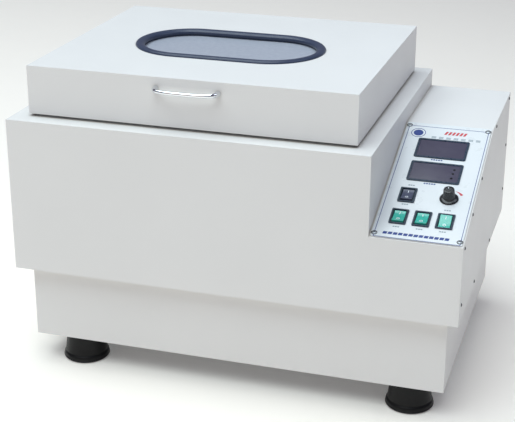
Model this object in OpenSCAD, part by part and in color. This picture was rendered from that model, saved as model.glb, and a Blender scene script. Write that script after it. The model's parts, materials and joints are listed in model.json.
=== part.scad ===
// Shaking water bath: a stainless tank with a hinged box lid, an orbital shaking
// platform driven from the base, and a sloping control panel at the right.
// Millimetres, +Z up, front towards -Y. Origin: centre of the footprint, at the floor.

/* [Upper body] */
// Width of the upper body, tank and controls together
body_w = 700; // [640:5:840]
// Depth of the upper body, screw heads included
body_d = 485; // [450:1:582]
// Height of the upper body at the tank
body_h = 244; // [235:1:300]
// Thickness of the painted steel sheet
sheet = 1.5; // [1:0.1:2]
// Width of the folded rims that the covers screw to
rim_w = 12; // [10:1:16]

/* [Control section] */
// Width of the control section at the right
control_w = 136.6; // [130:0.2:170]
// Height of its upright front, below the slope
control_front_h = 123; // [110:1:150]
// Step down from the tank's deck to the control section's flat top
deck_step = 29.4; // [15:0.2:50]
// Front-to-back length of the slope, measured level
slope_run = 265.4; // [240:0.2:300]

/* [Base] */
// Recess of the base under the upper body, at each side
base_recess_side = 19.5; // [5:0.5:40]
// Recess of the base under the upper body, front and rear
base_recess_end = 22; // [18:0.5:40]
// Height of the base
base_h = 122; // [115:1:150]

/* [Feet] */
// Height of a rubber foot
foot_h = 43; // [38:1:55]
// Diameter of a foot under the base
foot_top_d = 62; // [50:1:66]
// Diameter of the flange round a foot's bottom
foot_flange_d = 74; // [68:1:80]
// Thickness of that flange
foot_flange_h = 11; // [8:1:14]
// Inset of the left feet from the base's left edge
foot_inset_left = 70.5; // [45:0.5:100]
// Inset of the right feet from the base's right edge
foot_inset_right = 55.5; // [45:0.5:100]

/* [Lid] */
// Height of the lid's top above the tank deck
lid_h = 79; // [65:1:110]
// Strip of deck left free at each side of the lid
lid_side_gap = 26; // [20:1:40]
// Strip of deck left free in front of the lid and behind it
lid_end_gap = 28; // [26:1:40]
// Distance between the lid's outer and inner skins
lid_wall = 16; // [12:1:24]
// Height of the lid's lower edge above the deck
lid_lift = 4; // [3.6:0.2:6]
// Centre-to-centre distance of the handle's posts
handle_centres = 96; // [80:1:128]
// How far the handle stands out from the lid
handle_reach = 24; // [20:1:28]
// Diameter of the handle's bar
handle_bar_d = 6; // [5:0.5:8]
// Distance of the handle below the lid's top
handle_drop = 17; // [14:1:30]

/* [Window] */
// Length of the window's rubber surround
window_l = 308; // [256:1:370]
// Width of the window's rubber surround
window_w = 175; // [150:1:200]
// Distance of the window's centre in front of the lid's centre
window_forward = 14; // [0:1:20]
// Width of the rubber surround all round
gasket_band = 12.2; // [10:0.2:16]
// Height of the surround above the lid's top
gasket_rise = 4.4; // [3:0.2:7]
// Depth of the pane's face below the lid's top
pane_drop = 6.3; // [4:0.1:8]
// Thickness of the pane
pane_t = 4; // [3:0.5:5]

/* [Tank] */
// Width of the steel rim between the tank and the lid's sides
tank_rim_side = 35.7; // [30:0.1:50]
// Width of the steel rim between the tank and the lid's front and rear
tank_rim_end = 34.5; // [29:0.1:45]
// Height of the tank's bottom above the underside of the upper body
tank_floor_gap = 49; // [41:1:60]
// Thickness of the stainless sheet
tank_t = 1; // [0.8:0.1:1.5]
// Thickness of the insulation round the tank
insulation_t = 24; // [16:1:26]
// Diameter of the tubular heater
heater_d = 8.5; // [8:0.5:12]

/* [Shaker] */
// Radius of the platform's circular stroke
orbit_r = 10; // [6:0.1:12]
// Gap left between the moving platform and the tank's walls
platform_gap = 12; // [8:1:30]
// Height of the platform above the tank's bottom
platform_h = 44; // [42:1:55]
// Diameter of the crankshaft
shaft_d = 17; // [14:0.2:20.4]
// Diameter of the driven pulley's groove
driven_d = 120; // [90:2:140]
// Distance between the crankshaft and the motor's shaft
belt_run = 238; // [200:1:280]
// Diameter of the motor pulley's groove
pinion_d = 40; // [30:1:60]
// Inside diameter of a flask clamp
flask_d = 104; // [80:1:108]

/* [Controls] */
// Width of a display window
display_w = 79; // [70:1:90]
// Height of a display window
display_h = 47; // [40:1:50]
// Width of a rocker switch's frame
switch_w = 25; // [22:0.5:26]
// Height of a rocker switch's frame
switch_h = 32.5; // [30:0.5:35]
// Angle a rocker turns between its two positions
rocker_throw = 14; // [10:1:16]
// Diameter of the knob's skirt
knob_skirt_d = 28; // [24:1:34]
// Diameter of the knob's grip
knob_d = 17; // [14:1:22]
// Height of the knob
knob_h = 18; // [14:1:22]

/* [Fits] */
// Radial clearance of a turning shaft or pin in its bore
run_fit = 0.05; // [0.02:0.01:0.09]
// Gap between pieces that only pass each other
gap = 0.5; // [0.4:0.1:1]
// Height of a screw head
screw_head_h = 1.2; // [1:0.1:1.6]

/* [Hidden] */
$fn = 64;

// Fastenings: radii of threads and of their holes, and a length that passes any sheet
screw_r = 1.55;
screw_hole_r = 1.6;
cover_screw_head_r = 3.4;
cover_screw_l = 9;
bolt_r = 3;
bolt_head_d = 10.5;
drill = 20;

paint = "#dcdfdd";
steel = "#c3c7c9";
black = "#17181a";
cut = 1;

// Levels
base_z = foot_h;
body_z = foot_h + base_h;
deck_z = body_z + body_h;
lid_z = deck_z + lid_h;
tank_z = body_z + tank_floor_gap;
tank_depth = deck_z - tank_z;
control_deck_h = body_h - deck_step;
base_w = body_w - 2 * base_recess_side;
base_d = body_d - 2 * base_recess_end;

// Sides of the upper body: the covers lie a screw head's height inside its size
left_x = -body_w / 2;
right_x = body_w / 2 - screw_head_h;
side_x = right_x - sheet;
front_y = -body_d / 2;
rear_y = body_d / 2 - screw_head_h;
back_y = rear_y - sheet;

// Tank section and control section
control_x = body_w / 2 - control_w;
tank_x = (left_x + control_x) / 2;
slope_angle = atan((control_deck_h - control_front_h) / slope_run);
slope_len = slope_run / cos(slope_angle);
slope_cx = (right_x - control_x) / 2;

// Lid
lid_w = control_x - left_x - 2 * lid_side_gap;
lid_d = body_d - 2 * lid_end_gap;
lid_floor = deck_z + lid_lift;
lid_inner_w = lid_w - 2 * lid_wall;
lid_inner_d = lid_d - 2 * lid_wall;
lid_inner_z = lid_z - lid_wall;
lid_rear = lid_d / 2;
handle_z = lid_z - handle_drop;
handle_post_d = 10;
handle_post_l = 7;
handle_bow_start = handle_post_l - 1.5;
handle_screw_r = 2;
handle_screw_bite = 2;

// Window: the surround's neck passes the lid, its lips hold the lid's skins
neck_band = gasket_band - 5;
opening_l = window_l - 2 * gasket_band;
opening_w = window_w - 2 * gasket_band;
neck_l = window_l - 2 * neck_band;
neck_w = window_w - 2 * neck_band;
pane_bite = 3.5;
gasket_lip = 2.5;

// Hinges
hinge_x = 170;
hinge_w = 50;
hinge_t = 2;
hinge_pin_r = 2.5;
knuckle_r = 5;
hinge_y = lid_rear + hinge_t + knuckle_r - 1.5;
hinge_z = deck_z + knuckle_r + gap;
knuckle_l = hinge_w / 3;

// Tank
tank_l = lid_w - 2 * tank_rim_side;
tank_w = lid_d - 2 * tank_rim_end;
liner_lip = 1.2;
liner_r = 15;
liner_w = lid_w - 8;
liner_d = lid_d - 8;
heater_x = tank_l / 2;
heater_y = 70;
heater_z = tank_z + 16;
heater_bend_x = 100 - tank_l / 2;
probe_y = 30;
probe_d = 6;
probe_l = 45;
nut_h = 7;
nut_d = 20;
tail = 38;
drain_x = tank_x + tank_l / 2 - 70;
drain_y = tank_w / 2 - 35;
drain_d = 16;
drain_bore = 12;
drain_turn = 20;
drain_z = base_z + 70;
drain_end = base_d / 2 + 13;
cap_l = 13;
cap_d = 25;

// Crank drive, from the bottom up
pulley_z = base_z + 22;
belt_h = 10;
pulley_lip = 2.5;
pulley_lip_r = 3;
belt_t = 2.5;
belt_gap = 0.3;
motor_x = tank_x + belt_run;
weight_z = pulley_z + 26;
weight_h = 14;
weight_r = 72;
bearing_od = 40;
bearing_h = 12;
housing_d = 50;
housing_flange_d = 92;
housing_flange_h = 8;
housing_bolt_r = 36;
housing_z = body_z - housing_flange_h;
pipe_d = 62;
pipe_t = 2;
pipe_top = tank_z + 140;
housing_top = pipe_top - 6;
disc_z = pipe_top + 5;
disc_h = 8;
disc_r = 22;
crank_pin_d = 10;
pin_z = disc_z + disc_h;
hub_bearing_d = 26;
hub_bearing_h = 8;
hub_z = pin_z + 2;
hub_top = hub_z + hub_bearing_h + 2;
hub_d = 2 * (pipe_d / 2 + orbit_r + 8);
hub_t = 2;
platform_z = tank_z + platform_h;
platform_t = 1.5;
platform_rim = 12;
platform_x = tank_x + orbit_r;
platform_l = tank_l - 2 * (orbit_r + platform_gap);
platform_w = tank_w - 2 * (orbit_r + platform_gap);

// Idlers carry the platform's corners and keep it from turning
idler_x = tank_l / 2 - 70;
idler_y = tank_w / 2 - 75;
idler_spots = [[-idler_x, idler_y], [-idler_x, -idler_y], [idler_x, 0]];
idler_pin_r = 4;
idler_post_r = 10;
idler_foot_r = 18;
idler_foot_h = 3;
idler_disc_r = orbit_r + 7;
idler_disc_h = 4;
idler_post_h = platform_h - 24;
idler_disc_z = tank_z + idler_post_h + gap;
boss_z = idler_disc_z + idler_disc_h + 1;
clamp_x = platform_l / 2 - flask_d / 2 - 16;
clamp_y = platform_w / 2 - flask_d / 2 - 21;
clamp_mid_y = hub_d / 2 + flask_d / 2 + 4;
clamp_t = 1.2;
clamp_base_r = 16;
clamp_arm_h = 60;
clamp_arm_turn = 16;
clamp_spots = [for (side = [-1, 1], x = [-1, 0, 1])
    [x * clamp_x, side * (x == 0 ? clamp_mid_y : clamp_y)]];

// Controls, in the slope's own axes: across, up the slope, outwards
panel_t = 2;
panel_gap = 2.2;
// Rows from the bottom: green switches, power and speed, two displays. Spare length is spread
// between the rows in the shares given
row_gaps = [32.7, 17.3, 19, 10.5, 42.2];
spread = (slope_len - 2 * switch_h - 2 * display_h) / 121.7;
green_y = row_gaps[0] * spread + switch_h / 2;
power_y = green_y + switch_h + row_gaps[1] * spread;
lower_display_y = power_y + switch_h / 2 + row_gaps[2] * spread + display_h / 2;
display_ys = [lower_display_y, lower_display_y + display_h + row_gaps[3] * spread];
display_x = slope_cx - 1;
switch_pitch = switch_w + 8.5;
green_spots = [for (i = [-1, 0, 1]) [slope_cx + i * switch_pitch, green_y]];
power_spot = [slope_cx - 31, power_y];
knob_spot = [slope_cx + 30, power_y + 1.5];
frame_t = 2;
frame_wall = 2.2;
rocker_pivot = panel_t - 4;
rocker_l = (switch_h - 2 * frame_wall) / 2 - 1.6;
knob_lift = panel_t + 0.5;
knob_shaft_r = 3;
knob_shaft_bite = 8.5;
bushing_r = 4;
panel_screw_head_r = 3;
panel_screw_inset = 6.5;
bezel_h = 1.4;
bezel_r = 3;
display_reveal = 3.5;
housing_inset = 2.2;
housing_depth = 28;
housing_wall = 2;
window_t = 2;
switch_depth = 22;
switch_floor = 3;
switch_wall = 1;
switch_inset = 1.7;
rocker_edge = 7.4;
rocker_middle = 6.2;
rocker_skirt = 3;
rocker_keel = 6;
trunnion_r = 2;
trunnion_l = switch_w - 3.8;

// --- shared shapes ---

module block(x, y, z) {
    translate([x[0], y[0], z[0]]) cube([x[1] - x[0], y[1] - y[0], z[1] - z[0]]);
}

module ring(outer_r, inner_r, h) {
    difference() {
        cylinder(r = outer_r, h = h);
        translate([0, 0, -cut]) cylinder(r = inner_r, h = h + 2 * cut);
    }
}

module round_rect(w, d, r) {
    square([w - 2 * r, d], center = true);
    square([w, d - 2 * r], center = true);
    for (x = [-1, 1], y = [-1, 1])
        translate([x * (w / 2 - r), y * (d / 2 - r)]) circle(r = r);
}

module stadium(l, w) {
    square([l - w, w], center = true);
    for (x = [-1, 1]) translate([x * (l - w) / 2, 0]) circle(d = w);
}

module screw(head_r, length) {
    cylinder(r = head_r, h = screw_head_h);
    translate([0, 0, -length]) cylinder(r = screw_r, h = length);
}

module screw_hole() {
    cylinder(r = screw_hole_r, h = drill, center = true);
}

// The control section seen from its side, d inside its outer faces
function slope_height(d) = control_front_h - d / cos(slope_angle);
function slope_end(d) = (control_deck_h - d - slope_height(d)) / tan(slope_angle);
function side_outline(d) = [[front_y + d, body_z + d], [back_y - d, body_z + d],
    [back_y - d, body_z + control_deck_h - d],
    [front_y + slope_end(d), body_z + control_deck_h - d],
    [front_y + d, body_z + slope_height(d) + d * tan(slope_angle)]];

module across(x, length) {
    translate([x, 0, 0]) rotate([90, 0, 90]) linear_extrude(length) children();
}

module on_slope(spot = [0, 0], out = 0) {
    translate([control_x, front_y, body_z + control_front_h]) rotate([slope_angle, 0, 0])
        translate([spot[0], spot[1], out]) children();
}

module on_lid(z) {
    translate([tank_x, 0, z]) children();
}

module at_feet() {
    for (x = [-base_w / 2 + foot_inset_left, base_w / 2 - foot_inset_right], side = [-1, 1])
        translate([x, side * (base_d / 2 - foot_top_d / 2 - 1), 0]) children();
}

// --- base ---

foot_bolt_r = 4;
foot_bolt_head_r = 8;
foot_bolt_head_h = 5;
foot_socket_z = 14;
foot_nut_d = 15;
foot_nut_h = 6.5;

module feet() color(black) at_feet() difference() {
    union() {
        translate([0, 0, foot_flange_h - 2])
            cylinder(r1 = foot_top_d / 2 + 2, r2 = foot_top_d / 2, h = foot_h - foot_flange_h + 2);
        cylinder(d = foot_flange_d - foot_flange_h, h = foot_flange_h);
        rotate_extrude() translate([(foot_flange_d - foot_flange_h) / 2, foot_flange_h / 2])
            circle(d = foot_flange_h);
    }
    translate([0, 0, -cut]) cylinder(r = foot_bolt_r + run_fit, h = foot_h + 2 * cut);
    translate([0, 0, -cut]) cylinder(r = foot_bolt_head_r + 2, h = foot_socket_z + cut);
}

module foot_bolts() color(steel) at_feet() {
    translate([0, 0, foot_socket_z - foot_bolt_head_h])
        cylinder(r = foot_bolt_head_r, h = foot_bolt_head_h);
    translate([0, 0, foot_socket_z]) cylinder(r = foot_bolt_r, h = foot_h - foot_socket_z + 12);
    translate([0, 0, foot_h + sheet]) cylinder(d = foot_nut_d, h = foot_nut_h, $fn = 6);
}

inlet_w = 28;
inlet_h = 20;
inlet_l = 24;
inlet_x = base_w / 2 - 100;
inlet_z = base_z + 62;
inlet_flange = [50, 25, 2.5];
socket = [23, 15, 15];
blade = [2, 4];
blade_pitch = 7;

module base_casing() color(paint) difference() {
    union() {
        difference() {
            block([-base_w / 2, base_w / 2], [-base_d / 2, base_d / 2], [base_z, body_z]);
            block([-base_w / 2 + sheet, base_w / 2 - sheet],
                [-base_d / 2 + sheet, base_d / 2 - sheet], [base_z - cut, body_z + cut]);
        }
        base_rim(base_z + sheet);
        base_rim(body_z - sheet);
    }
    translate([inlet_x, base_d / 2 - 10, inlet_z])
        block([-inlet_w / 2, inlet_w / 2], [0, 20], [-inlet_h / 2, inlet_h / 2]);
    translate([drain_x, base_d / 2 + 10, drain_z]) rotate([90, 0, 0])
        cylinder(r = drain_d / 2 + gap, h = 20);
    at_plate_screws() screw_hole();
}

module base_rim(z) {
    difference() {
        block([-base_w / 2, base_w / 2], [-base_d / 2, base_d / 2], [z, z + sheet]);
        block([-base_w / 2 + rim_w, base_w / 2 - rim_w],
            [-base_d / 2 + rim_w, base_d / 2 - rim_w], [z - cut, z + sheet + cut]);
    }
}

module at_plate_screws() {
    for (x = [-1, 0, 1], side = [-1, 1])
        translate([x * (base_w / 2 - 12), side * (base_d / 2 - rim_w / 2), base_z]) children();
}

module base_plate() color(steel) difference() {
    block([-base_w / 2 + sheet + gap, base_w / 2 - sheet - gap],
        [-base_d / 2 + sheet + gap, base_d / 2 - sheet - gap], [base_z, base_z + sheet]);
    at_feet() cylinder(r = foot_bolt_r + run_fit, h = 3 * foot_h);
    at_plate_screws() screw_hole();
    for (x = [motor_x - 30 : 12 : motor_x + 30])
        block([x - 2, x + 2], [-35, 35], [base_z - cut, base_z + sheet + cut]);
}

module base_plate_screws() color(steel) at_plate_screws()
    rotate([180, 0, 0]) screw(cover_screw_head_r, cover_screw_l);

module mains_inlet() color(black) translate([inlet_x, base_d / 2, inlet_z]) {
    difference() {
        union() {
            block([-inlet_flange[0] / 2, inlet_flange[0] / 2], [0, inlet_flange[2]],
                [-inlet_flange[1] / 2, inlet_flange[1] / 2]);
            block([-inlet_w / 2 + 0.2, inlet_w / 2 - 0.2], [-inlet_l, 0.1],
                [-inlet_h / 2 + 0.2, inlet_h / 2 - 0.2]);
        }
        block([-socket[0] / 2, socket[0] / 2], [-socket[2], inlet_flange[2] + cut],
            [-socket[1] / 2, socket[1] / 2]);
    }
    for (x = [-1, 0, 1]) block([x * blade_pitch - blade[0] / 2, x * blade_pitch + blade[0] / 2],
        [-inlet_l, -1.5], [-blade[1] / 2, blade[1] / 2]);
}

// --- upper body ---

// Screw places: how far back from the front face, and how high above the underside
cover_inset = 7;
function slope_spot(run) = [run, control_front_h + run * tan(slope_angle)
    - cover_inset / cos(slope_angle)];
side_rear = back_y - front_y - cover_inset - 8;
side_spots = concat([for (z = [45, 125, control_deck_h - cover_inset]) [side_rear, z]],
    [for (z = [28, control_front_h - cover_inset]) [17, z]],
    [slope_spot(80), slope_spot(160), [slope_run + 40, control_deck_h - cover_inset]],
    [for (run = [150, 320]) [run, cover_inset]]);
// Screw places on the rear cover: across, and above the underside
rear_spots = concat([for (x = [left_x + 8, tank_x, control_x - 20], z = [8, body_h - 8]) [x, z]],
    [for (z = [body_h / 3, body_h * 2 / 3]) [left_x + 8, z]],
    [for (z = [8, 105, control_deck_h - 8]) [side_x - 8, z]]);

module at_side_screws() {
    for (spot = side_spots) translate([right_x, front_y + spot[0], body_z + spot[1]])
        rotate([0, 90, 0]) children();
}

module at_rear_screws() {
    for (spot = rear_spots) translate([spot[0], rear_y, body_z + spot[1]])
        rotate([-90, 0, 0]) children();
}

module body_casing() color(paint) difference() {
    union() {
        difference() {
            union() {
                block([left_x, control_x], [front_y, back_y], [body_z, deck_z]);
                across(control_x - cut, side_x - control_x + cut) polygon(side_outline(0));
            }
            block([left_x + sheet, control_x - sheet], [front_y + sheet, back_y + cut],
                [body_z + sheet, deck_z - sheet]);
            across(control_x, side_x - control_x + cut) polygon(side_outline(sheet));
            block([control_x, side_x + cut], [back_y - sheet - cut, back_y + cut],
                [body_z + sheet, body_z + control_deck_h - sheet]);
        }
        rear_rims();
        side_rim();
    }
    on_lid(deck_z - sheet - cut) linear_extrude(sheet + 2 * cut)
        round_rect(tank_l + 2 * tank_t + 2, tank_w + 2 * tank_t + 2, liner_r + tank_t + 1);
    on_slope([slope_cx, slope_len / 2], -sheet - cut) linear_extrude(sheet + 2 * cut)
        square([right_x - control_x - 22, slope_len - 34], center = true);
    floor_holes();
    translate([control_x - 10, 120, body_z + 60]) rotate([0, 90, 0]) cylinder(r = 14, h = 20);
    at_side_screws() screw_hole();
    at_rear_screws() screw_hole();
    at_panel_screws() screw_hole();
}

module rear_rims() {
    difference() {
        block([left_x, control_x], [back_y - sheet, back_y], [body_z, deck_z]);
        block([left_x + rim_w, control_x - rim_w], [back_y - 3, back_y + cut],
            [body_z + rim_w, deck_z - rim_w]);
    }
    difference() {
        block([control_x - cut, side_x], [back_y - sheet, back_y],
            [body_z, body_z + control_deck_h]);
        block([control_x + rim_w, side_x - rim_w], [back_y - 3, back_y + cut],
            [body_z + rim_w, body_z + control_deck_h - rim_w]);
    }
}

module side_rim() {
    across(side_x - sheet, sheet) difference() {
        polygon(side_outline(0));
        polygon(side_outline(rim_w));
    }
}

module floor_holes() {
    through = [body_z - cut, body_z + sheet + cut];
    translate([tank_x, 0, body_z - cut]) cylinder(r = housing_d / 2 + gap, h = 4);
    at_housing_bolts() cylinder(r = bolt_r + 0.1, h = drill, center = true);
    translate([drain_x, drain_y, body_z - cut]) cylinder(r = drain_d / 2 + 2, h = 4);
    block([control_x + 30, control_x + 80], [140, 170], through);
    at_motor_screws() cylinder(r = motor_screw_r, h = drill, center = true);
}

module side_cover() color(paint) difference() {
    across(side_x, sheet) polygon(side_outline(0));
    at_side_screws() screw_hole();
}

module side_cover_screws() color("#55585c") at_side_screws()
    screw(cover_screw_head_r, cover_screw_l);

module rear_cover() color(paint) difference() {
    union() {
        block([left_x, control_x], [back_y, rear_y], [body_z, deck_z]);
        block([control_x - cut, right_x], [back_y, rear_y], [body_z, body_z + control_deck_h]);
    }
    at_rear_screws() screw_hole();
    for (z = [120 : 10 : 180])
        block([control_x + 35, right_x - 35], [back_y - cut, rear_y + cut],
            [body_z + z, body_z + z + 3]);
}

module rear_cover_screws() color("#55585c") at_rear_screws()
    screw(cover_screw_head_r, cover_screw_l);

// --- tank ---

module tank_liner() color(steel) difference() {
    union() {
        on_lid(deck_z) linear_extrude(liner_lip) round_rect(liner_w, liner_d, 8);
        on_lid(tank_z - tank_t) linear_extrude(tank_depth + tank_t)
            round_rect(tank_l + 2 * tank_t, tank_w + 2 * tank_t, liner_r + tank_t);
    }
    on_lid(tank_z) linear_extrude(tank_depth + liner_lip + cut)
        round_rect(tank_l, tank_w, liner_r);
    on_lid(tank_z - tank_t - cut) cylinder(d = pipe_d, h = tank_t + 2 * cut);
    for (side = [-1, 1]) through_wall(side * heater_y, heater_z, heater_d);
    through_wall(probe_y, heater_z, probe_d);
    translate([drain_x, drain_y, tank_z - tank_t - cut]) cylinder(d = drain_d, h = 4);
}

module through_wall(y, z, d) {
    translate([tank_x + tank_l / 2 - 5, y, z]) rotate([0, 90, 0]) cylinder(d = d, h = 70);
}

module tank_insulation() color("#d9c98f") difference() {
    half_l = tank_l / 2 + tank_t + insulation_t;
    half_w = tank_w / 2 + tank_t + insulation_t;
    block([tank_x - half_l, tank_x + half_l], [-half_w, half_w],
        [tank_z - tank_t - insulation_t + 4, deck_z - sheet - gap]);
    on_lid(tank_z - tank_t - gap) linear_extrude(tank_depth + 5)
        round_rect(tank_l + 2 * tank_t + 2 * gap, tank_w + 2 * tank_t + 2 * gap, liner_r + tank_t);
    on_lid(body_z) cylinder(d = pipe_d + 4, h = tank_z - body_z);
    for (side = [-1, 1]) through_wall(side * heater_y, heater_z, nut_d + 4);
    through_wall(probe_y, heater_z, nut_d + 4);
    translate([drain_x, drain_y, body_z]) cylinder(d = drain_d + 4, h = tank_z - body_z);
}

module standpipe() color(steel) on_lid(tank_z) {
    translate([0, 0, -tank_t]) ring(pipe_d / 2, pipe_d / 2 - pipe_t, pipe_top - tank_z + tank_t);
    ring(pipe_d / 2 + 9, pipe_d / 2, 2);
}

module heater_element() color("#8f9398") translate([tank_x, 0, heater_z]) {
    for (side = [-1, 1]) translate([heater_bend_x, side * heater_y, 0]) rotate([0, 90, 0])
        cylinder(d = heater_d, h = heater_x + tail - heater_bend_x);
    translate([heater_bend_x, 0, 0]) rotate([0, 0, 90]) rotate_extrude(angle = 180)
        translate([heater_y, 0]) circle(d = heater_d);
}

module bulkhead_nuts() color("#b9a15a") for (spot = [[-heater_y, heater_d],
        [heater_y, heater_d], [probe_y, probe_d]])
    translate([tank_x + heater_x + tank_t, spot[0], heater_z]) rotate([0, 90, 0]) difference() {
        cylinder(d = nut_d, h = nut_h, $fn = 6);
        translate([0, 0, -cut]) cylinder(d = spot[1], h = nut_h + 2 * cut);
    }

module temperature_probe() color(steel)
    translate([tank_x + heater_x - probe_l, probe_y, heater_z]) {
        rotate([0, 90, 0]) cylinder(d = probe_d, h = probe_l + tail);
        sphere(d = probe_d);
    }

module drain_pipe() color(steel) difference() {
    union() {
        drain_route(drain_d);
        translate([drain_x, drain_y, tank_z]) cylinder(d = drain_d + 10, h = 1.5);
    }
    drain_route(drain_bore);
    translate([drain_x, drain_y, tank_z - 10]) cylinder(d = drain_bore, h = 20);
    translate([drain_x, drain_end - 5, drain_z]) rotate([-90, 0, 0])
        cylinder(d = drain_bore, h = 10);
}

module drain_route(d) {
    translate([drain_x, drain_y, drain_z + drain_turn])
        cylinder(d = d, h = tank_z - drain_z - drain_turn);
    translate([drain_x, drain_y + drain_turn, drain_z + drain_turn])
        rotate([0, -90, 0]) rotate([0, 0, 180]) rotate_extrude(angle = 90)
            translate([drain_turn, 0]) circle(d = d);
    translate([drain_x, drain_y + drain_turn, drain_z]) rotate([-90, 0, 0])
        cylinder(d = d, h = drain_end - drain_y - drain_turn);
}

module drain_cap() color(black)
    translate([drain_x, drain_end + gap - 10, drain_z]) rotate([-90, 0, 0]) difference() {
        cylinder(d = cap_d, h = cap_l);
        translate([0, 0, -cut]) cylinder(r = drain_d / 2 + run_fit, h = 10 + cut);
    }

// --- lid ---

module window_cut(z0, z1, grow) {
    translate([tank_x, -window_forward, z0]) linear_extrude(z1 - z0)
        stadium(neck_l + grow, neck_w + grow);
}

module lid_box(w, d, z0, z1) {
    block([tank_x - w / 2, tank_x + w / 2], [-d / 2, d / 2], [z0, z1]);
}

module lid_shell() color(paint) difference() {
    lid_box(lid_w, lid_d, lid_floor, lid_z);
    lid_box(lid_w - 2 * sheet, lid_d - 2 * sheet, lid_floor - cut, lid_z - sheet);
    window_cut(lid_z - sheet - cut, lid_z + cut, 0);
    at_handle_posts() cylinder(r = handle_screw_r, h = 10, center = true);
}

module lid_liner() color(steel) difference() {
    union() {
        lid_box(lid_inner_w + 2 * tank_t, lid_inner_d + 2 * tank_t, lid_floor,
            lid_inner_z + tank_t);
        lid_box(lid_w - 2 * sheet, lid_d - 2 * sheet, lid_floor, lid_floor + tank_t);
    }
    lid_box(lid_inner_w, lid_inner_d, lid_floor - cut, lid_inner_z);
    window_cut(lid_inner_z - cut, lid_inner_z + tank_t + cut, 0);
}

module lid_seal() color(black) difference() {
    seal_z = deck_z + liner_lip + 0.4;
    lid_box(lid_w - 10, lid_d - 10, seal_z, lid_floor);
    lid_box(lid_w - 2 * lid_wall - 2, lid_d - 2 * lid_wall - 2, seal_z - cut, lid_floor + cut);
}

module window_gasket() color("#2b3346") difference() {
    lower_z = lid_inner_z - gasket_lip;
    pane_z = lid_z - pane_drop - pane_t;
    translate([tank_x, -window_forward, 0]) {
        translate([0, 0, lid_z]) linear_extrude(gasket_rise) stadium(window_l, window_w);
        translate([0, 0, lower_z]) linear_extrude(gasket_lip) stadium(window_l, window_w);
        translate([0, 0, lower_z]) linear_extrude(lid_z + gasket_rise - lower_z)
            stadium(neck_l, neck_w);
    }
    translate([tank_x, -window_forward, lower_z - cut])
        linear_extrude(lid_z + gasket_rise - lower_z + 2 * cut) stadium(opening_l, opening_w);
    translate([tank_x, -window_forward, pane_z]) linear_extrude(pane_t)
        stadium(opening_l + 2 * pane_bite, opening_w + 2 * pane_bite);
}

module window_pane() color("#aeb4c4", 0.6)
    translate([tank_x, -window_forward, lid_z - pane_drop - pane_t]) linear_extrude(pane_t)
        stadium(opening_l + 2 * pane_bite, opening_w + 2 * pane_bite);

module at_handle_posts() {
    for (side = [-1, 1])
        translate([tank_x + side * handle_centres / 2, -lid_d / 2, handle_z])
            rotate([90, 0, 0]) children();
}

module lid_handle() color("#e8eaec") {
    rise = handle_reach - handle_bow_start - handle_bar_d / 2;
    bow_r = (pow(handle_centres / 2, 2) + rise * rise) / (2 * rise);
    half_angle = asin(handle_centres / 2 / bow_r);
    at_handle_posts() difference() {
        cylinder(d = handle_post_d, h = handle_post_l);
        translate([0, 0, -cut]) cylinder(r = handle_screw_r, h = handle_screw_bite + cut);
    }
    translate([tank_x, -lid_d / 2 - handle_bow_start - rise + bow_r, handle_z])
        rotate([0, 0, -90 - half_angle]) rotate_extrude(angle = 2 * half_angle)
            translate([bow_r, 0]) circle(d = handle_bar_d);
}

module handle_screws() color(steel) at_handle_posts() {
    translate([0, 0, -sheet - 2.5]) cylinder(r = 2 * handle_screw_r, h = 2.5);
    translate([0, 0, -sheet]) cylinder(r = handle_screw_r, h = sheet + handle_screw_bite);
}

module at_hinges() {
    for (side = [-1, 1]) translate([tank_x + side * hinge_x, hinge_y, hinge_z]) children();
}

module knuckle(start, pin_gap) {
    translate([start - hinge_w / 2 + 0.2, 0, 0]) rotate([0, 90, 0])
        ring(knuckle_r, hinge_pin_r + pin_gap, knuckle_l - 0.4);
}

module hinge_deck_leaves() color(steel) at_hinges() {
    leaf_end = body_d / 2 - 4 - hinge_y;
    difference() {
        union() {
            for (start = [0, 2 * knuckle_l]) {
                knuckle(start, 0);
                block([start - hinge_w / 2 + 0.2, start - hinge_w / 2 + knuckle_l - 0.2],
                    [0, 7], [deck_z - hinge_z, deck_z - hinge_z + hinge_t]);
            }
            block([-hinge_w / 2, hinge_w / 2], [6, leaf_end],
                [deck_z - hinge_z, deck_z - hinge_z + hinge_t]);
        }
        rotate([0, 90, 0]) cylinder(r = hinge_pin_r, h = hinge_w + 2, center = true);
    }
}

module hinge_lid_leaves() color(steel) at_hinges() difference() {
    union() {
        knuckle(knuckle_l, run_fit);
        block([-knuckle_l / 2 + 0.2, knuckle_l / 2 - 0.2],
            [lid_rear - hinge_y, lid_rear - hinge_y + hinge_t], [0, 8]);
        block([-hinge_w / 2, hinge_w / 2],
            [lid_rear - hinge_y, lid_rear - hinge_y + hinge_t], [7, 32]);
    }
    rotate([0, 90, 0]) cylinder(r = hinge_pin_r + run_fit, h = hinge_w + 2, center = true);
}

module hinge_pins() color("#9a9ea2") at_hinges() rotate([0, 90, 0])
    cylinder(r = hinge_pin_r, h = hinge_w, center = true);

// --- control panel ---

module at_panel_screws() {
    for (x = [panel_screw_inset, right_x - control_x - panel_screw_inset],
            y = [panel_screw_inset + 3.5, slope_len - panel_screw_inset - 3.5])
        on_slope([x, y], panel_t) children();
}

module switch_hole(spot) {
    on_slope(spot, -cut) linear_extrude(panel_t + 2 * cut)
        square([switch_w - 3, switch_h - 3], center = true);
}

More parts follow.
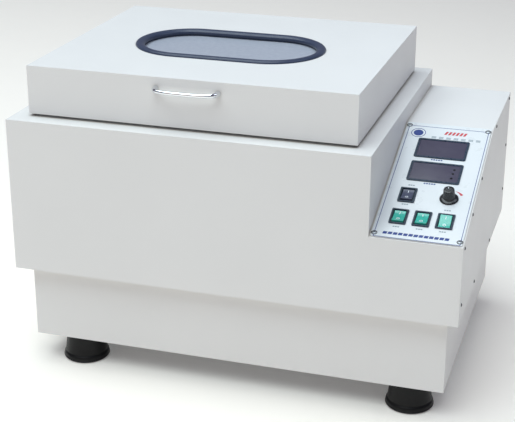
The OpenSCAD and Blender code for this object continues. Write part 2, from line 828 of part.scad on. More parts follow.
module panel_plate() color("#eef4f8") difference() {
    on_slope([slope_cx, slope_len / 2]) linear_extrude(panel_t)
        round_rect(right_x - control_x - 2 * panel_gap, slope_len - 5, 2);
    for (y = display_ys) on_slope([display_x, y], -cut) linear_extrude(panel_t + 2 * cut)
        square([display_w - 4, display_h - 4], center = true);
    switch_hole(power_spot);
    for (spot = green_spots) switch_hole(spot);
    on_slope(knob_spot, -cut) cylinder(r = bushing_r + run_fit, h = panel_t + 2 * cut);
    at_panel_screws() screw_hole();
}

module panel_screws() color("#3a3c40") at_panel_screws() screw(panel_screw_head_r, cover_screw_l);

module display_opening() {
    round_rect(display_w - 2 * display_reveal, display_h - 2 * display_reveal, 2);
}

module display_housings() color(black) for (y = display_ys) on_slope([display_x, y])
    difference() {
        union() {
            translate([0, 0, panel_t]) linear_extrude(bezel_h)
                round_rect(display_w, display_h, bezel_r);
            block([-display_w / 2 + housing_inset, display_w / 2 - housing_inset],
                [-display_h / 2 + housing_inset, display_h / 2 - housing_inset],
                [-housing_depth, panel_t + 0.1]);
        }
        translate([0, 0, housing_wall - housing_depth]) linear_extrude(2 * housing_depth)
            display_opening();
    }

module display_windows() color("#3f4256") for (y = display_ys)
    on_slope([display_x, y], panel_t - 1.2) linear_extrude(window_t) display_opening();

module switch_frame(spot) {
    half_w = switch_w / 2 - switch_inset;
    half_h = switch_h / 2 - switch_inset;
    difference() {
        on_slope(spot, panel_t) {
            linear_extrude(frame_t) round_rect(switch_w, switch_h, 1.5);
            block([-half_w, half_w], [-half_h, half_h], [-switch_depth, 0.1]);
        }
        on_slope(spot, panel_t - switch_depth + switch_floor) linear_extrude(2 * switch_depth)
            square([2 * (half_w - switch_wall), switch_h - 2 * frame_wall], center = true);
        on_slope(spot, rocker_pivot) rotate([0, 90, 0])
            cylinder(r = trunnion_r + run_fit, h = switch_w, center = true);
    }
}

module switch_frames() color(black) {
    switch_frame(power_spot);
    for (spot = green_spots) switch_frame(spot);
}

// A shallow V that tips on the trunnions at its sides
module rocker(spot, tip) {
    half_w = switch_w / 2 - switch_inset - switch_wall - 0.3;
    on_slope(spot, rocker_pivot) rotate([tip * rocker_throw / 2, 0, 0]) {
        translate([-half_w, 0, 0]) rotate([90, 0, 90]) linear_extrude(2 * half_w)
            polygon([[-rocker_l, -rocker_skirt], [-rocker_l, rocker_edge], [0, rocker_middle],
                [rocker_l, rocker_edge], [rocker_l, -rocker_skirt], [0, -rocker_keel]]);
        rotate([0, 90, 0]) cylinder(r = trunnion_r, h = trunnion_l, center = true);
    }
}

module power_rocker() color("#1b1c1f") rocker(power_spot, -1);
module left_rocker() color("#37b3a6") rocker(green_spots[0], -1);
module middle_rocker() color("#37b3a6") rocker(green_spots[1], -1);
module right_rocker() color("#37b3a6") rocker(green_spots[2], 1);

module speed_knob() color(black) on_slope(knob_spot, knob_lift) difference() {
    union() {
        cylinder(r1 = knob_skirt_d / 2, r2 = knob_skirt_d / 2 - 2, h = 3);
        cylinder(r1 = knob_d / 2 + 0.5, r2 = knob_d / 2 - 0.5, h = knob_h);
    }
    translate([0, 0, -cut]) cylinder(r = knob_shaft_r + run_fit, h = knob_shaft_bite + 1 + cut);
}

module speed_potentiometer() color(steel) on_slope(knob_spot) {
    translate([0, 0, -14]) cylinder(r = 12, h = 12);
    translate([0, 0, -3]) cylinder(r = bushing_r, h = 3 + panel_t);
    cylinder(r = knob_shaft_r, h = knob_lift + knob_shaft_bite);
}

module control_board() color("#2f6b46") {
    board_x = control_x + 16;
    block([board_x, board_x + 1.6], [0, 170], [body_z + 30, body_z + 150]);
    for (y = [10, 160], z = [38, 142]) translate([control_x, y, body_z + z]) rotate([0, 90, 0])
        cylinder(r = 3, h = 16.5);
    block([board_x + 1.5, board_x + 34], [20, 70], [body_z + 45, body_z + 85]);
    block([board_x + 1.5, board_x + 18], [90, 130], [body_z + 50, body_z + 66]);
    for (y = [92, 112, 132, 152]) translate([board_x + 1.5, y, body_z + 112])
        rotate([0, 90, 0]) cylinder(r = 7, h = 22);
}

// --- shaking drive ---

module at_housing_bolts() {
    for (angle = [45 : 90 : 315]) translate([tank_x, 0, body_z]) rotate([0, 0, angle])
        translate([housing_bolt_r, 0, 0]) children();
}

module bearing_housing() color("#9aa0a4") difference() {
    union() {
        on_lid(housing_z) cylinder(d = housing_flange_d, h = housing_flange_h);
        on_lid(housing_z) cylinder(d = housing_d, h = housing_top - housing_z);
    }
    on_lid(housing_z - cut) cylinder(d = bearing_od - 6, h = 400);
    on_lid(housing_z - cut) cylinder(d = bearing_od, h = bearing_h + cut);
    on_lid(housing_top - bearing_h) cylinder(d = bearing_od, h = bearing_h + cut);
    at_housing_bolts() cylinder(r = bolt_r, h = 2 * drill, center = true);
}

module housing_bolts() color(steel) at_housing_bolts() {
    translate([0, 0, -housing_flange_h - 4]) cylinder(d = bolt_head_d, h = 4, $fn = 6);
    translate([0, 0, -housing_flange_h]) cylinder(r = bolt_r, h = housing_flange_h + sheet + 7);
    translate([0, 0, sheet]) cylinder(d = bolt_head_d, h = 5, $fn = 6);
}

module shaft_bearings() color("#b4b8bb") for (z = [housing_z, housing_top - bearing_h])
    on_lid(z) ring(bearing_od / 2, shaft_d / 2 + run_fit, bearing_h);

module crankshaft() color(steel) {
    on_lid(pulley_z - 6) cylinder(d = shaft_d, h = disc_z - pulley_z + 6);
    on_lid(disc_z) cylinder(r = disc_r, h = disc_h);
    translate([tank_x + orbit_r, 0, pin_z]) cylinder(d = crank_pin_d, h = hub_bearing_h + 3);
}

module counterweight() color("#4a4d50") on_lid(weight_z) difference() {
    union() {
        cylinder(d = shaft_d + 16, h = weight_h);
        difference() {
            cylinder(r = weight_r, h = weight_h);
            block([0, 2 * weight_r], [-2 * weight_r, 2 * weight_r], [-cut, weight_h + cut]);
        }
    }
    translate([0, 0, -cut]) cylinder(d = shaft_d, h = weight_h + 2 * cut);
}

module grooved_pulley(groove_d, bore_d) {
    for (z = [-pulley_lip, belt_h]) translate([0, 0, z])
        ring(groove_d / 2 + pulley_lip_r, bore_d / 2, pulley_lip);
    ring(groove_d / 2, bore_d / 2, belt_h);
}

module driven_pulley() color("#a9adb0") on_lid(pulley_z) grooved_pulley(driven_d, shaft_d);

motor_shaft_d = 10;

module motor_pulley() color("#a9adb0") translate([motor_x, 0, pulley_z])
    grooved_pulley(pinion_d, motor_shaft_d);

// A loop round both pulleys: an arc on each, joined along their outer tangents
function arc(centre, r, start, end, steps) = [for (i = [0 : steps])
    centre + r * [cos(start + (end - start) * i / steps), sin(start + (end - start) * i / steps)]];
function belt_loop(grow, lean) = concat(
    arc([0, 0], driven_d / 2 + grow, 90 - lean, 270 + lean, 48),
    arc([belt_run, 0], pinion_d / 2 + grow, lean - 90, 90 - lean, 32));

module drive_belt() color("#202123") on_lid(pulley_z + 0.5) linear_extrude(belt_h - 1) {
    lean = asin((driven_d - pinion_d) / 2 / belt_run);
    difference() {
        polygon(belt_loop(belt_gap + belt_t, lean));
        polygon(belt_loop(belt_gap, lean));
    }
}

motor_d = 84;
motor_z = pulley_z + 24;
motor_h = body_z - motor_z - 10;
motor_screw_r = 2.6;
motor_screw_y = 30;
bracket_half_w = 50;
bracket_half_d = 45;
bracket_t = 3;
bracket_foot_w = 17;
bracket_foot_x = bracket_half_w - bracket_t / 2 + bracket_foot_w / 2;

module at_motor_screws() {
    for (x = [-1, 1], y = [-1, 1])
        translate([motor_x + x * bracket_foot_x, y * motor_screw_y, body_z]) children();
}

module motor() color("#5b6066") translate([motor_x, 0, motor_z]) difference() {
    union() {
        cylinder(d = motor_d, h = motor_h);
        for (z = [6 : 6 : motor_h - 8]) translate([0, 0, z]) cylinder(d = motor_d + 4, h = 2);
    }
    translate([0, 0, -cut]) cylinder(r = motor_shaft_d / 2 + run_fit, h = motor_h - 8);
}

module motor_bracket() color(steel) difference() {
    translate([motor_x, 0, 0]) {
        across_y = [-bracket_half_d, bracket_half_d];
        block([-bracket_half_w, bracket_half_w], across_y, [motor_z - bracket_t, motor_z]);
        for (side = [-1, 1]) {
            wall = side * bracket_half_w;
            foot = side * bracket_foot_x;
            block([wall - bracket_t / 2, wall + bracket_t / 2], across_y,
                [motor_z - bracket_t, body_z]);
            block([foot - bracket_foot_w / 2, foot + bracket_foot_w / 2], across_y,
                [body_z - bracket_t, body_z]);
        }
    }
    translate([motor_x, 0, motor_z - 10]) cylinder(r = 14, h = drill);
    at_motor_screws() cylinder(r = motor_screw_r, h = drill, center = true);
}

module motor_shaft() color(steel) translate([motor_x, 0, pulley_z - 5])
    cylinder(d = motor_shaft_d, h = motor_z - pulley_z + motor_h - 12);

// --- shaking platform ---

module platform_tray() color(steel) translate([platform_x, 0, platform_z]) difference() {
    union() {
        difference() {
            translate([0, 0, -platform_t]) linear_extrude(platform_t + platform_rim)
                round_rect(platform_l, platform_w, 14);
            linear_extrude(platform_rim + cut) round_rect(platform_l - 2, platform_w - 2, 13);
        }
        at_idlers(boss_z - platform_z) cylinder(r = idler_pin_r + 4, h = platform_z - boss_z);
    }
    translate([0, 0, -10]) cylinder(d = hub_d, h = 20);
    at_idlers(-40) cylinder(r = idler_pin_r + run_fit, h = 80);
}

module at_idlers(z) {
    for (spot = idler_spots) translate([spot[0], spot[1], z]) children();
}

module platform_hub() color("#b8bdc0") translate([platform_x, 0, 0]) {
    difference() {
        union() {
            translate([0, 0, platform_z - platform_t])
                cylinder(r = hub_d / 2, h = hub_top + hub_t - platform_z + platform_t);
            translate([0, 0, platform_z]) cylinder(r = hub_d / 2 + 7, h = 2);
        }
        translate([0, 0, platform_z - 10])
            cylinder(r = hub_d / 2 - hub_t, h = hub_top - platform_z + 10);
    }
    translate([0, 0, hub_z]) ring(hub_bearing_d / 2 + 4, hub_bearing_d / 2, hub_top - hub_z);
}

module hub_bearing() color("#d0d3d5") translate([platform_x, 0, hub_z])
    ring(hub_bearing_d / 2, crank_pin_d / 2 + run_fit, hub_bearing_h);

// One arm's section: out along the platform, up, in over the flask's shoulder and out again
module clamp_arm() {
    r = flask_d / 2;
    shoulder = clamp_arm_h - 8;
    rotate_extrude(angle = clamp_arm_turn) polygon([[clamp_base_r - 2, 0], [r, 0],
        [r, clamp_arm_h / 2 - 4], [r - 12, shoulder], [r - 6, clamp_arm_h],
        [r - 6 - clamp_t, clamp_arm_h + 0.4], [r - 12.2 - clamp_t, shoulder],
        [r - clamp_t, clamp_arm_h / 2 - 4], [r - clamp_t, clamp_t], [clamp_base_r - 2, clamp_t]]);
}

module flask_clamps() color("#cfd3d6") for (spot = clamp_spots)
    translate([platform_x + spot[0], spot[1], platform_z]) {
        cylinder(r = clamp_base_r, h = clamp_t);
        for (angle = [45 : 90 : 315]) rotate([0, 0, angle - clamp_arm_turn / 2]) clamp_arm();
    }

module idler_posts() color(steel) translate([tank_x, 0, 0]) at_idlers(tank_z) difference() {
    union() {
        cylinder(r = idler_foot_r, h = idler_foot_h);
        cylinder(r = idler_post_r, h = idler_post_h);
    }
    translate([0, 0, idler_foot_h]) cylinder(r = idler_pin_r + run_fit, h = idler_post_h);
}

module idler(spot) {
    translate([tank_x + spot[0], spot[1], 0]) {
        translate([0, 0, tank_z + idler_foot_h + gap])
            cylinder(r = idler_pin_r, h = idler_disc_z - tank_z - idler_foot_h);
        translate([0, 0, idler_disc_z]) cylinder(r = idler_disc_r, h = idler_disc_h);
        translate([orbit_r, 0, idler_disc_z])
            cylinder(r = idler_pin_r, h = platform_z - idler_disc_z);
    }
}

module rear_left_idler() color(steel) idler(idler_spots[0]);
module front_left_idler() color(steel) idler(idler_spots[1]);
module right_idler() color(steel) idler(idler_spots[2]);

feet();
foot_bolts();
base_casing();
base_plate();
base_plate_screws();
body_casing();
side_cover();
side_cover_screws();
rear_cover();
rear_cover_screws();
tank_liner();
tank_insulation();
standpipe();
heater_element();
bulkhead_nuts();
temperature_probe();
drain_pipe();
drain_cap();
lid_shell();
lid_liner();
lid_seal();
window_gasket();
window_pane();
lid_handle();
handle_screws();
hinge_deck_leaves();
hinge_lid_leaves();
hinge_pins();
panel_plate();
panel_screws();
display_housings();
display_windows();
switch_frames();
power_rocker();
left_rocker();
middle_rocker();
right_rocker();
speed_knob();
speed_potentiometer();
control_board();
mains_inlet();
bearing_housing();
housing_bolts();
shaft_bearings();
crankshaft();
counterweight();
driven_pulley();
drive_belt();
motor();
motor_bracket();
motor_shaft();
motor_pulley();
platform_tray();
platform_hub();
hub_bearing();
flask_clamps();
idler_posts();
rear_left_idler();
front_left_idler();
right_idler();
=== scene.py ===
import json
import math
import bmesh
import bpy
from mathutils import Matrix, Vector

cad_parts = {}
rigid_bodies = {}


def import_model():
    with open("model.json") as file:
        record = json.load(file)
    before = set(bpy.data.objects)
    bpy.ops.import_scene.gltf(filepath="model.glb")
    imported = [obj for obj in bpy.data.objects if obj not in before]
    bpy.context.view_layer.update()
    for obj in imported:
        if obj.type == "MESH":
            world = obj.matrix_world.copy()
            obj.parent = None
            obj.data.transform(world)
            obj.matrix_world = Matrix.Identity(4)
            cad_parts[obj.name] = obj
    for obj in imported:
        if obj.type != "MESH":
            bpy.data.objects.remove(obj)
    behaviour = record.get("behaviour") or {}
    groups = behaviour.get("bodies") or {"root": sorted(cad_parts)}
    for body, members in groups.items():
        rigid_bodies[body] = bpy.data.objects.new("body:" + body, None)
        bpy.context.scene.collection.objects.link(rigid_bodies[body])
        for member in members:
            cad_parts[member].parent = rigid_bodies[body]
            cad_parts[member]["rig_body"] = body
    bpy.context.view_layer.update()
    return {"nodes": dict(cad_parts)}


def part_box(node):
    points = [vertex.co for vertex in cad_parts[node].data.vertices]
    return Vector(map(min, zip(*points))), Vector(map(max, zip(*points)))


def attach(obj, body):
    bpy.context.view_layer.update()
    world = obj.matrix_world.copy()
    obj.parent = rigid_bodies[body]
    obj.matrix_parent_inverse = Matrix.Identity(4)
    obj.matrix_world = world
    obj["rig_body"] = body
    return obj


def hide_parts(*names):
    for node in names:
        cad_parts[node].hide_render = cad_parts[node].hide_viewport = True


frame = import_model()
cadNodes = frame["nodes"]
slotOf = {name: node.data.materials[0].name for name, node in cadNodes.items()}
print("frame loaded:", len(cadNodes), "nodes")

mm = 0.001
sharpTurn = math.radians(38)  # faces that turn by more than this meet in a sharp edge
roundedTurn = math.radians(28)  # edges that turn by more than this are rounded

# An sRGB hex value as linear red, green, blue and alpha
def colour(code):
    parts = [int(code[i:i + 2], 16) / 255 for i in (1, 3, 5)]
    linear = [p / 12.92 if p <= 0.04045 else ((p + 0.055) / 1.055) ** 2.4 for p in parts]
    return (*linear, 1.0)

# Adds a node. Settings are its own properties; inputs are values, links or lists of links, by
# socket identifier
def addNode(tree, kind, settings=None, inputs=None):
    node = tree.nodes.new(kind)
    for key, value in (settings or {}).items():
        setattr(node, key, value)
    sockets = {s.identifier: s for s in node.inputs}
    for key, value in (inputs or {}).items():
        sources = value if isinstance(value, list) else [value]
        if isinstance(sources[0], bpy.types.NodeSocket):
            for source in sources:
                tree.links.new(source, sockets[key])
        else:
            sockets[key].default_value = value
    return node

def newObject(name, mesh):
    made = bpy.data.objects.new(name, mesh)
    bpy.context.scene.collection.objects.link(made)
    return made

def camelName(node):
    first, *rest = node.split("_")
    return first + "".join(word.capitalize() for word in rest)

# Turns an object with modifiers into a plain mesh
def bake(made):
    bpy.context.view_layer.update()
    graph = bpy.context.evaluated_depsgraph_get()
    mesh = bpy.data.meshes.new_from_object(made.evaluated_get(graph))
    made.modifiers.clear()
    made.data = mesh
    return made

def shadeSmooth(mesh):
    mesh.polygons.foreach_set("use_smooth", [True] * len(mesh.polygons))
    mesh.set_sharp_from_angle(angle=sharpTurn)

# Runs a building function on an empty mesh, closes its seams and turns its faces outwards
def meshFrom(name, build, place=None):
    work = bmesh.new()
    build(work)
    bmesh.ops.remove_doubles(work, verts=work.verts, dist=0.002 * mm)
    bmesh.ops.recalc_face_normals(work, faces=work.faces)
    if place:
        bmesh.ops.transform(work, matrix=place, verts=work.verts)
    mesh = bpy.data.meshes.new(name)
    work.to_mesh(mesh)
    work.free()
    shadeSmooth(mesh)
    return mesh

# A closed profile of (outward, height) points carried round stations of (centre, direction), in mm
def sweep(work, profile, stations):
    rows = [[work.verts.new(((c[0] + d[0] * o) * mm, (c[1] + d[1] * o) * mm, z * mm))
        for o, z in profile] for c, d in stations]
    count = len(profile)
    for i, row in enumerate(rows):
        follow = rows[(i + 1) % len(rows)]
        for k in range(count):
            n = (k + 1) % count
            work.faces.new((row[k], row[n], follow[n], follow[k]))

def circleStations(centre=(0, 0), steps=72):
    turns = [2 * math.pi * i / steps for i in range(steps)]
    return [(centre, (math.cos(t), math.sin(t))) for t in turns]

# Round an oval of two half circles and two straights
def stadiumStations(centre, length, width, steps=32):
    half = (length - width) / 2
    found = []
    for side in (1, -1):
        for i in range(steps + 1):
            t = side * math.pi / 2 - math.pi * i / steps
            d = (math.cos(t), math.sin(t))
            found.append(((centre[0] + side * half + d[0] * width / 2,
                centre[1] + d[1] * width / 2), d))
    return found

# Rounds the edges, then evens the normals so that flat faces stay flat
def roundEdges(made, width, segments=2, limit="ANGLE"):
    bevel = made.modifiers.new("rounding", "BEVEL")
    bevel.limit_method = limit
    bevel.angle_limit = roundedTurn
    bevel.width = width * mm
    bevel.segments = segments
    bake(made)
    shadeSmooth(made.data)
    even = made.modifiers.new("even normals", "WEIGHTED_NORMAL")
    even.keep_sharp = True
    return bake(made)

# The separate shells of a CAD node, each as its points, in a fixed order
def islands(node):
    work = bmesh.new()
    work.from_mesh(cadNodes[node].data)
    bmesh.ops.remove_doubles(work, verts=work.verts, dist=0.001 * mm)
    seen, found = set(), []
    for first in work.verts:
        if first in seen:
            continue
        seen.add(first)
        group, queue = [], [first]
        while queue:
            vert = queue.pop()
            group.append(vert.co.copy())
            for e in vert.link_edges:
                other = e.other_vert(vert)
                if other not in seen:
                    seen.add(other)
                    queue.append(other)
        found.append(group)
    work.free()

    def meanPlace(group):
        return [round(sum(p[i] for p in group) / len(group), 4) for i in range(3)]

    return sorted(found, key=meanPlace)

# The middle of the box round some points
def middle(points):
    low = Vector([min(p[i] for p in points) for i in range(3)])
    high = Vector([max(p[i] for p in points) for i in range(3)])
    return (low + high) / 2

# Each finish is named for the real material, and also for a painted shadow or reflection where it
# carries one. Colours are two close shades that drift over patches of "drift" mm, and roughness
# runs between two values over patches of "patch" mm. Reliefs are (grain in mm, depth in mm). A
# stretch lengthens the grain, or the drift, along x, y and z
def makeFinish(name, recipe):
    material = bpy.data.materials.new(name)
    material.use_nodes = True
    tree = material.node_tree
    tree.nodes.clear()
    place = addNode(tree, "ShaderNodeTexCoord")
    stretch = recipe.get("stretch", (1, 1, 1))

    def grain(size, along=stretch, detail=3.0):
        scale = addNode(tree, "ShaderNodeMapping", inputs={"Vector": place.outputs["Object"],
            "Scale": [1 / (size * mm * a) for a in along]})
        return addNode(tree, "ShaderNodeTexNoise", inputs={"Vector": scale.outputs[0],
            "Scale": 1.0, "Detail": detail}).outputs[0]

    shades = addNode(tree, "ShaderNodeMix", {"data_type": "RGBA"}, {
        "Factor_Float": grain(recipe["drift"], recipe.get("driftStretch", (1, 1, 1)), 4.0),
        "A_Color": colour(recipe["shades"][0]), "B_Color": colour(recipe["shades"][1])})
    base = shades.outputs[2]
    low, high = recipe["roughness"]
    rough = addNode(tree, "ShaderNodeMapRange", inputs={"Value": grain(recipe["patch"]),
        "From Min": 0.3, "From Max": 0.7, "To Min": low, "To Max": high}).outputs[0]
    normal = None
    for size, depth in recipe["reliefs"]:
        relief = {"Strength": 1.0, "Distance": depth * mm, "Height": grain(size)}
        if normal:
            relief["Normal"] = normal
        normal = addNode(tree, "ShaderNodeBump", inputs=relief).outputs[0]
    shader = addNode(tree, "ShaderNodeBsdfPrincipled", inputs={"Base Color": base,
        "Roughness": rough, "Normal": normal, **recipe.get("sockets", {})})
    if "extra" in recipe:
        recipe["extra"](tree, shader, base, grain)
    addNode(tree, "ShaderNodeOutputMaterial", inputs={"Surface": shader.outputs[0]})
    return material

# Painted shade: in corners and crevices, found by ambient occlusion, the colour moves towards a
# given colour. On the powder coat this is a brownish painted shade; on the rubber feet it is a
# lighter dusty tone
def cornerShadeAndDust(shade, reach, share):
    def add(tree, shader, base, grain):
        near = addNode(tree, "ShaderNodeAmbientOcclusion", {"samples": 8},
            {"Distance": reach * mm})
        amount = addNode(tree, "ShaderNodeMapRange", inputs={"Value": near.outputs["AO"],
            "From Min": 0.35, "From Max": 0.9, "To Min": share, "To Max": 0.0})
        mixed = addNode(tree, "ShaderNodeMix", {"data_type": "RGBA"}, {
            "Factor_Float": amount.outputs[0], "A_Color": base, "B_Color": colour(shade)})
        tree.links.new(mixed.outputs[2], shader.inputs["Base Color"])
    return add

# Screen-printed inks: flat, slightly raised, a touch glossier than the film
def screenInk(shades, drift, roughness, sockets={}):
    return dict(shades=shades, drift=drift, roughness=roughness, patch=2,
        reliefs=[(0.6, 0.006)], sockets={"IOR": 1.5, **sockets})

# Roughness and IOR start from what is typical of each material and are matched to the object
recipes = {
    # Polyester powder coat on sheet steel: wide soft reflections broken by faint orange peel.
    # The peel is drawn at 2.5 mm and 12 mm, coarser than real, so that it shows
    # Its corners and crevices get a brownish painted shade
    "powderCoat": dict(shades=("#e5e4e2", "#e0dfdd"), drift=140, roughness=(0.34, 0.42), patch=60,
        reliefs=[(2.5, 0.0008), (12, 0.0015)], extra=cornerShadeAndDust("#a99d8b", 9, 0.55),
        sockets={"Coat Weight": 0.04, "Coat Roughness": 0.12, "Specular IOR Level": 0.2}),
    # Brushed stainless sheet: long scratches that smear highlights across them, drawn 1 mm wide,
    # coarser than real, so that they show
    "brushedStainless": dict(shades=("#c9cccd", "#bfc2c4"), drift=30, driftStretch=(8, 1, 1),
        roughness=(0.25, 0.35), patch=1.2, stretch=(40, 1, 1), reliefs=[(1, 0.002)],
        sockets={"Metallic": 1.0, "Anisotropic": 0.5}),
    # Bright zinc plate: blotchy, slightly blue, half gloss
    "zincPlate": dict(shades=("#b9bfc4", "#a3a8ab"), drift=6, roughness=(0.28, 0.45), patch=3,
        reliefs=[(0.8, 0.004)], sockets={"Metallic": 1.0}),
    # Blackened screws: oily dark oxide with a low shine
    "blackOxide": dict(shades=("#3a3d42", "#26282c"), drift=2, roughness=(0.35, 0.5), patch=1,
        reliefs=[(0.6, 0.004)], sockets={"Metallic": 0.9}),
    # Chrome plate over polished brass: near mirror with faint haze
    "chromePlate": dict(shades=("#eceef0", "#dfe2e6"), drift=12, roughness=(0.04, 0.1), patch=8,
        reliefs=[(5, 0.004)], sockets={"Metallic": 1.0}),
    # Moulded natural rubber feet: black, softly shiny, fine mould grain, with a lighter dusty tone
    # in their corners
    "mouldedRubber": dict(shades=("#0c0c0d", "#070708"), drift=18, roughness=(0.32, 0.48),
        patch=7, reliefs=[(0.9, 0.02), (6, 0.05)], extra=cornerShadeAndDust("#2a2825", 5, 0.4),
        sockets={"Coat Weight": 0.05, "Coat Roughness": 0.25, "Specular IOR Level": 0.22}),
    # Extruded EPDM window surround: blue-grey black with a talc bloom
    "extrudedRubber": dict(shades=("#2a3751", "#243049"), drift=26, roughness=(0.3, 0.42),
        patch=9, reliefs=[(0.8, 0.015), (5, 0.03)], sockets={"Sheen Weight": 0.12, "IOR": 1.5}),
    # Silicone door seal: dull near-black
    "siliconeSeal": dict(shades=("#1f2023", "#17181a"), drift=14, roughness=(0.5, 0.65), patch=6,
        reliefs=[(1, 0.012)], sockets={"IOR": 1.42}),
    # Frosted acrylic pane: pale lavender, blurred, a little light passes through. Its pale
    # lavender colour is painted reflection of the bright room
    "frostedAcrylicAndReflection": dict(shades=("#c2c8d2", "#a9b0bf"), drift=7, roughness=(0.3, 0.42),
        patch=5, reliefs=[(2.2, 0.02), (0.8, 0.01)],
        sockets={"IOR": 1.49, "Transmission Weight": 0.12, "Coat Weight": 0.5,
            "Coat Roughness": 0.12}),
    # Satin polyester film on aluminium: cold white, very even
    "panelFilm": dict(shades=("#dfe3e5", "#dadfe1"), drift=70, roughness=(0.26, 0.34), patch=20,
        reliefs=[(2, 0.006)], sockets={"Coat Weight": 0.3, "Coat Roughness": 0.15, "IOR": 1.5}),
    # Moulded ABS with a fine spark texture: dark, with a soft broken shine
    "mouldedAbs": dict(shades=("#132b31", "#0f2227"), drift=9, roughness=(0.3, 0.42), patch=3,
        reliefs=[(0.7, 0.012)], sockets={"IOR": 1.5, "Specular IOR Level": 0.3}),
    # Polished ABS of the power rocker: glossier, slate grey under the lights
    "slateAbs": dict(shades=("#4d5369", "#43495d"), drift=7, roughness=(0.26, 0.36), patch=3,
        reliefs=[(0.8, 0.008)], sockets={"IOR": 1.53, "Coat Weight": 0.2, "Coat Roughness": 0.15}),
    # Meter bezels and switch frames: polished ABS, dark slate
    "bezelAbs": dict(shades=("#27374a", "#202f40"), drift=12, roughness=(0.24, 0.34), patch=4,
        reliefs=[(0.9, 0.008)], sockets={"IOR": 1.5, "Specular IOR Level": 0.35}),
    # Smoked acrylic filter over a dark display: deep, glossy, faintly purple
    "smokedAcrylic": dict(shades=("#4c485a", "#423f50"), drift=22, roughness=(0.1, 0.18), patch=12,
        reliefs=[(6, 0.006)], sockets={"IOR": 1.49, "Coat Weight": 0.2, "Coat Roughness": 0.06}),
    # Translucent green polycarbonate rocker caps, unlit
    "greenPolycarbonate": dict(shades=("#45c3ae", "#2ea697"), drift=7, roughness=(0.16, 0.26),
        patch=4, reliefs=[(1.5, 0.01)], sockets={"IOR": 1.58, "Coat Weight": 0.5,
            "Coat Roughness": 0.08, "Subsurface Weight": 0.25, "Subsurface Scale": 0.004,
            "Subsurface Radius": (0.3, 1.0, 0.8)}),
    # Black phenolic knob, polished by fingers
    "phenolicKnob": dict(shades=("#15171b", "#0e0f12"), drift=6, roughness=(0.2, 0.32), patch=3,
        reliefs=[(1, 0.01)], sockets={"IOR": 1.55, "Coat Weight": 0.15, "Coat Roughness": 0.1}),
    # Mineral wool slabs: matted straw-coloured fibres
    "mineralWool": dict(shades=("#d6c48a", "#b59f63"), drift=9, driftStretch=(4, 1, 2),
        roughness=(0.9, 1.0), patch=5, stretch=(3, 1, 2), reliefs=[(2, 0.5), (7, 1.2)],
        sockets={"Sheen Weight": 0.3}),
    # Fibreglass board under green solder mask
    "solderMask": dict(shades=("#2d6d45", "#245a39"), drift=5, roughness=(0.25, 0.4), patch=2,
        reliefs=[(1.2, 0.03)], sockets={"IOR": 1.5, "Coat Weight": 0.3}),
    # Turned brass fittings
    "turnedBrass": dict(shades=("#c9ab5c", "#b0934a"), drift=6, roughness=(0.22, 0.36), patch=2,
        reliefs=[(0.8, 0.008)], sockets={"Metallic": 1.0}),
    # Heater sheath: nickel alloy with straw and blue heat stains
    "heaterSheath": dict(shades=("#8f8f92", "#85796c"), drift=28, roughness=(0.3, 0.5), patch=6,
        reliefs=[(1.4, 0.02)], sockets={"Metallic": 1.0}),
    # Sand-cast aluminium, bead blasted
    "castAluminium": dict(shades=("#aeb1b3", "#989b9e"), drift=12, roughness=(0.45, 0.6), patch=3,
        reliefs=[(1.2, 0.06)], sockets={"Metallic": 1.0}),
    # Grey cast iron under thin oil
    "castIron": dict(shades=("#57595b", "#434547"), drift=9, roughness=(0.45, 0.65), patch=3,
        reliefs=[(1.5, 0.1)], sockets={"Metallic": 0.85}),
    # Hammered motor enamel: shallow pits about 2.5 mm apart
    "hammeredEnamel": dict(shades=("#5d646c", "#4d545b"), drift=8, roughness=(0.28, 0.4), patch=5,
        reliefs=[(2.5, 0.12)], sockets={"Coat Weight": 0.4, "Coat Roughness": 0.15, "IOR": 1.5}),
    # Neoprene drive belt with chalky sides
    "neopreneBelt": dict(shades=("#2a2b2d", "#202122"), drift=12, roughness=(0.6, 0.75), patch=4,
        reliefs=[(1, 0.05)], sockets={"IOR": 1.5}),
    # Ground bearing steel: bright with grinding lines
    "bearingSteel": dict(shades=("#cdd0d2", "#bcc0c3"), drift=8, roughness=(0.12, 0.22), patch=2,
        reliefs=[(0.8, 0.004)], sockets={"Metallic": 1.0}),
    "blueInk": screenInk(("#24408c", "#1d3679"), 4, (0.3, 0.4)),
    "greyInk": screenInk(("#93a0a8", "#86939b"), 3, (0.3, 0.42)),
    "redInk": screenInk(("#c8404a", "#b8343f"), 4, (0.3, 0.4)),
    "whiteInk": screenInk(("#e8eef0", "#dbe3e6"), 3, (0.3, 0.42)),
    # Dark ink of the display indicators, also used for the painted shadow rings round the panel
    # screws
    "darkInkAndScrewShadow": screenInk(("#0b0b0f", "#070709"), 3, (0.4, 0.5), {"Specular IOR Level": 0.15}),
}
finishes = {name: makeFinish(name, recipe) for name, recipe in recipes.items()}
print("finishes made:", len(finishes))

finishOfSlot = {"cabinet_paint": "powderCoat", "stainless": "brushedStainless",
    "zinc_hardware": "zincPlate", "dark_screws": "blackOxide", "handle_chrome": "chromePlate",
    "foot_rubber": "mouldedRubber", "gasket_rubber": "extrudedRubber",
    "seal_rubber": "siliconeSeal", "window_glass": "frostedAcrylicAndReflection", "panel_film": "panelFilm",
    "black_plastic": "mouldedAbs", "display_filter": "smokedAcrylic",
    "switch_green": "greenPolycarbonate", "knob_plastic": "phenolicKnob",
    "insulation_wool": "mineralWool", "board_green": "solderMask", "nut_brass": "turnedBrass",
    "heater_sheath": "heaterSheath", "cast_aluminium": "castAluminium",
    "weight_iron": "castIron", "motor_paint": "hammeredEnamel", "belt_rubber": "neopreneBelt",
    "bearing_steel": "bearingSteel"}

# Seats a finished piece: its body, the CAD nodes it stands for and its finish
def settle(made, body, finish=None, nodes=()):
    if finish:
        made.data.materials.clear()
        made.data.materials.append(finishes[finish])
    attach(made, body)
    if nodes:
        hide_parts(*nodes)
    return made

